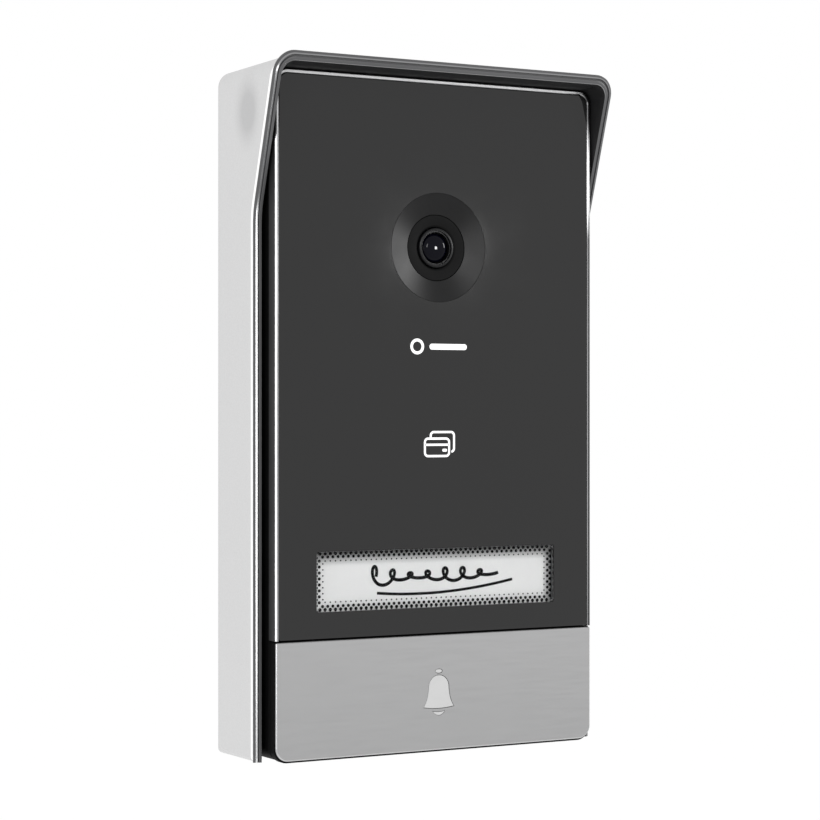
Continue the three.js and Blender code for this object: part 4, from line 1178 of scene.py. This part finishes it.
def screw(node, place, head, shank, along, upright=False):
    """A pan-head screw, with a cross recess unless upright. along is (top of head, under head, tip)."""
    top, under, tip = along
    way = 1 if tip > top else -1
    section = [(0, top), (head * 0.6, top + way * 0.06), (head * 0.9, top + way * 0.3)]
    section += [(head, under - way * 0.35), (head, under), (shank, under)]
    section += threaded(shank, under + way * 0.4, tip - way * 0.6)
    obj = turned(node + "_pan", section, place, STEEL, steps=40, upright=upright)
    if not upright:
        x, z = place
        reach, depth = head * 0.62, top + way * 0.75
        low, high = min(top - way, depth), max(top - way, depth)
        for across, tall in ((reach, 0.28), (0.28, reach)):
            cut(obj, block("recess", x - across, x + across, low, high, z - tall, z + tall))
    stand_for(crisp(obj, 35), node)
    return obj


def screws():
    for kind, count, head, shank, thick in (("housing", 4, 2.6, 1.2, 1.5), ("board", 2, 2.2, 0.9, 1.3)):
        for i in range(1, count + 1):
            node = f"{kind}_screw_{i}"
            e = extent(node)
            screw(node, e.middle, head, shank, (e.back, e.back + thick, e.front))
    e = extent("locking_screw")
    x, depth = e.middle[0], (e.back + e.front) / 2
    along = (e.bottom, e.bottom + 1.2, e.top)
    obj = screw("locking_screw", (x, depth), 2.8, 1.3, along, upright=True)
    cut(obj, upright_tool(x, depth, 1.15, e.bottom - 1, e.bottom + 0.7, 6))


# ---- CAD nodes that keep their shape ----

def dress(node, material, edge):
    """A CAD node in its own finish, with its facets merged and its sharp edges eased."""
    obj = smooth(frame["nodes"][node])
    obj.data.materials.clear()
    obj.data.materials.append(material)
    obj.modifiers.new("weld", "WELD").merge_threshold = 1e-6
    flat = obj.modifiers.new("merge_facets", "DECIMATE")
    flat.decimate_type = "DISSOLVE"
    flat.angle_limit = math.radians(0.5)
    if edge:
        bevel = obj.modifiers.new("edge_radius", "BEVEL")
        bevel.width = edge * MM
        bevel.segments = 2
        bevel.limit_method = "ANGLE"
        bevel.angle_limit = math.radians(32)
        obj.modifiers.new("flat_faces", "WEIGHTED_NORMAL")


DRESSED = [
    (RUBBER, {"cable_grommet": 0.3, "speaker_gasket": 0.1, "microphone_boot": 0.15,
              "button_seal": 0.05, "reset_button": 0.12}),
    (BLACK_PLASTIC, {"panel_carrier": 0.1, "lens_holder": 0.12, "ir_cut_frame": 0.06,
                     "power_inductor": 0.15, "speaker_cone": 0, "tact_switch": 0.1,
                     "tamper_switch": 0.12}),
    (STEEL, {"processor_shield": 0.12, "power_capacitor": 0.1, "terminal_screw_1": 0.08,
             "terminal_screw_2": 0.08, "speaker_basket": 0.08, "speaker_magnet": 0.1}),
    (BOARD, {"camera_board": 0.04, "ir_board": 0.04, "main_board": 0.04, "rfid_board": 0.04}),
    (COPPER, {"ir_cut_motor": 0.1, "rfid_coil": 0.03}),
    (LENS_COAT, {"lens_rear_element": 0.05, "ir_cut_filter": 0.04}),
    (LED_RESIN, {"ir_led_1": 0, "ir_led_2": 0}),
    (SWITCH_WHITE, {"tact_plunger": 0.1, "tamper_plunger": 0.08}),
    (TERMINAL_GREEN, {"terminal_block": 0.12}),
    (WINDOW_CLEAR, {"clear_filter": 0.04}),
    (GUIDE_MILK, {"name_light_guide": 0.15}),
    (SENSOR, {"image_sensor": 0.06}),
    (FLEX, {"camera_flex": 0}),
]


for build in (
    add_camera, add_studio, shield_skin, hood_shell, wall_plate, rear_cover, front_housing,
    housing_seal, front_frame, front_panel, card_sign, plain_mark, name_window, window_frit,
    name_card, camera_bezel, camera_cover, lens_barrel, lens_front, call_button_plate, bell_guide,
    button_carrier, button_springs, screws,
):
    build()
for material, nodes in DRESSED:
    for node, edge in nodes.items():
        dress(node, material, edge)
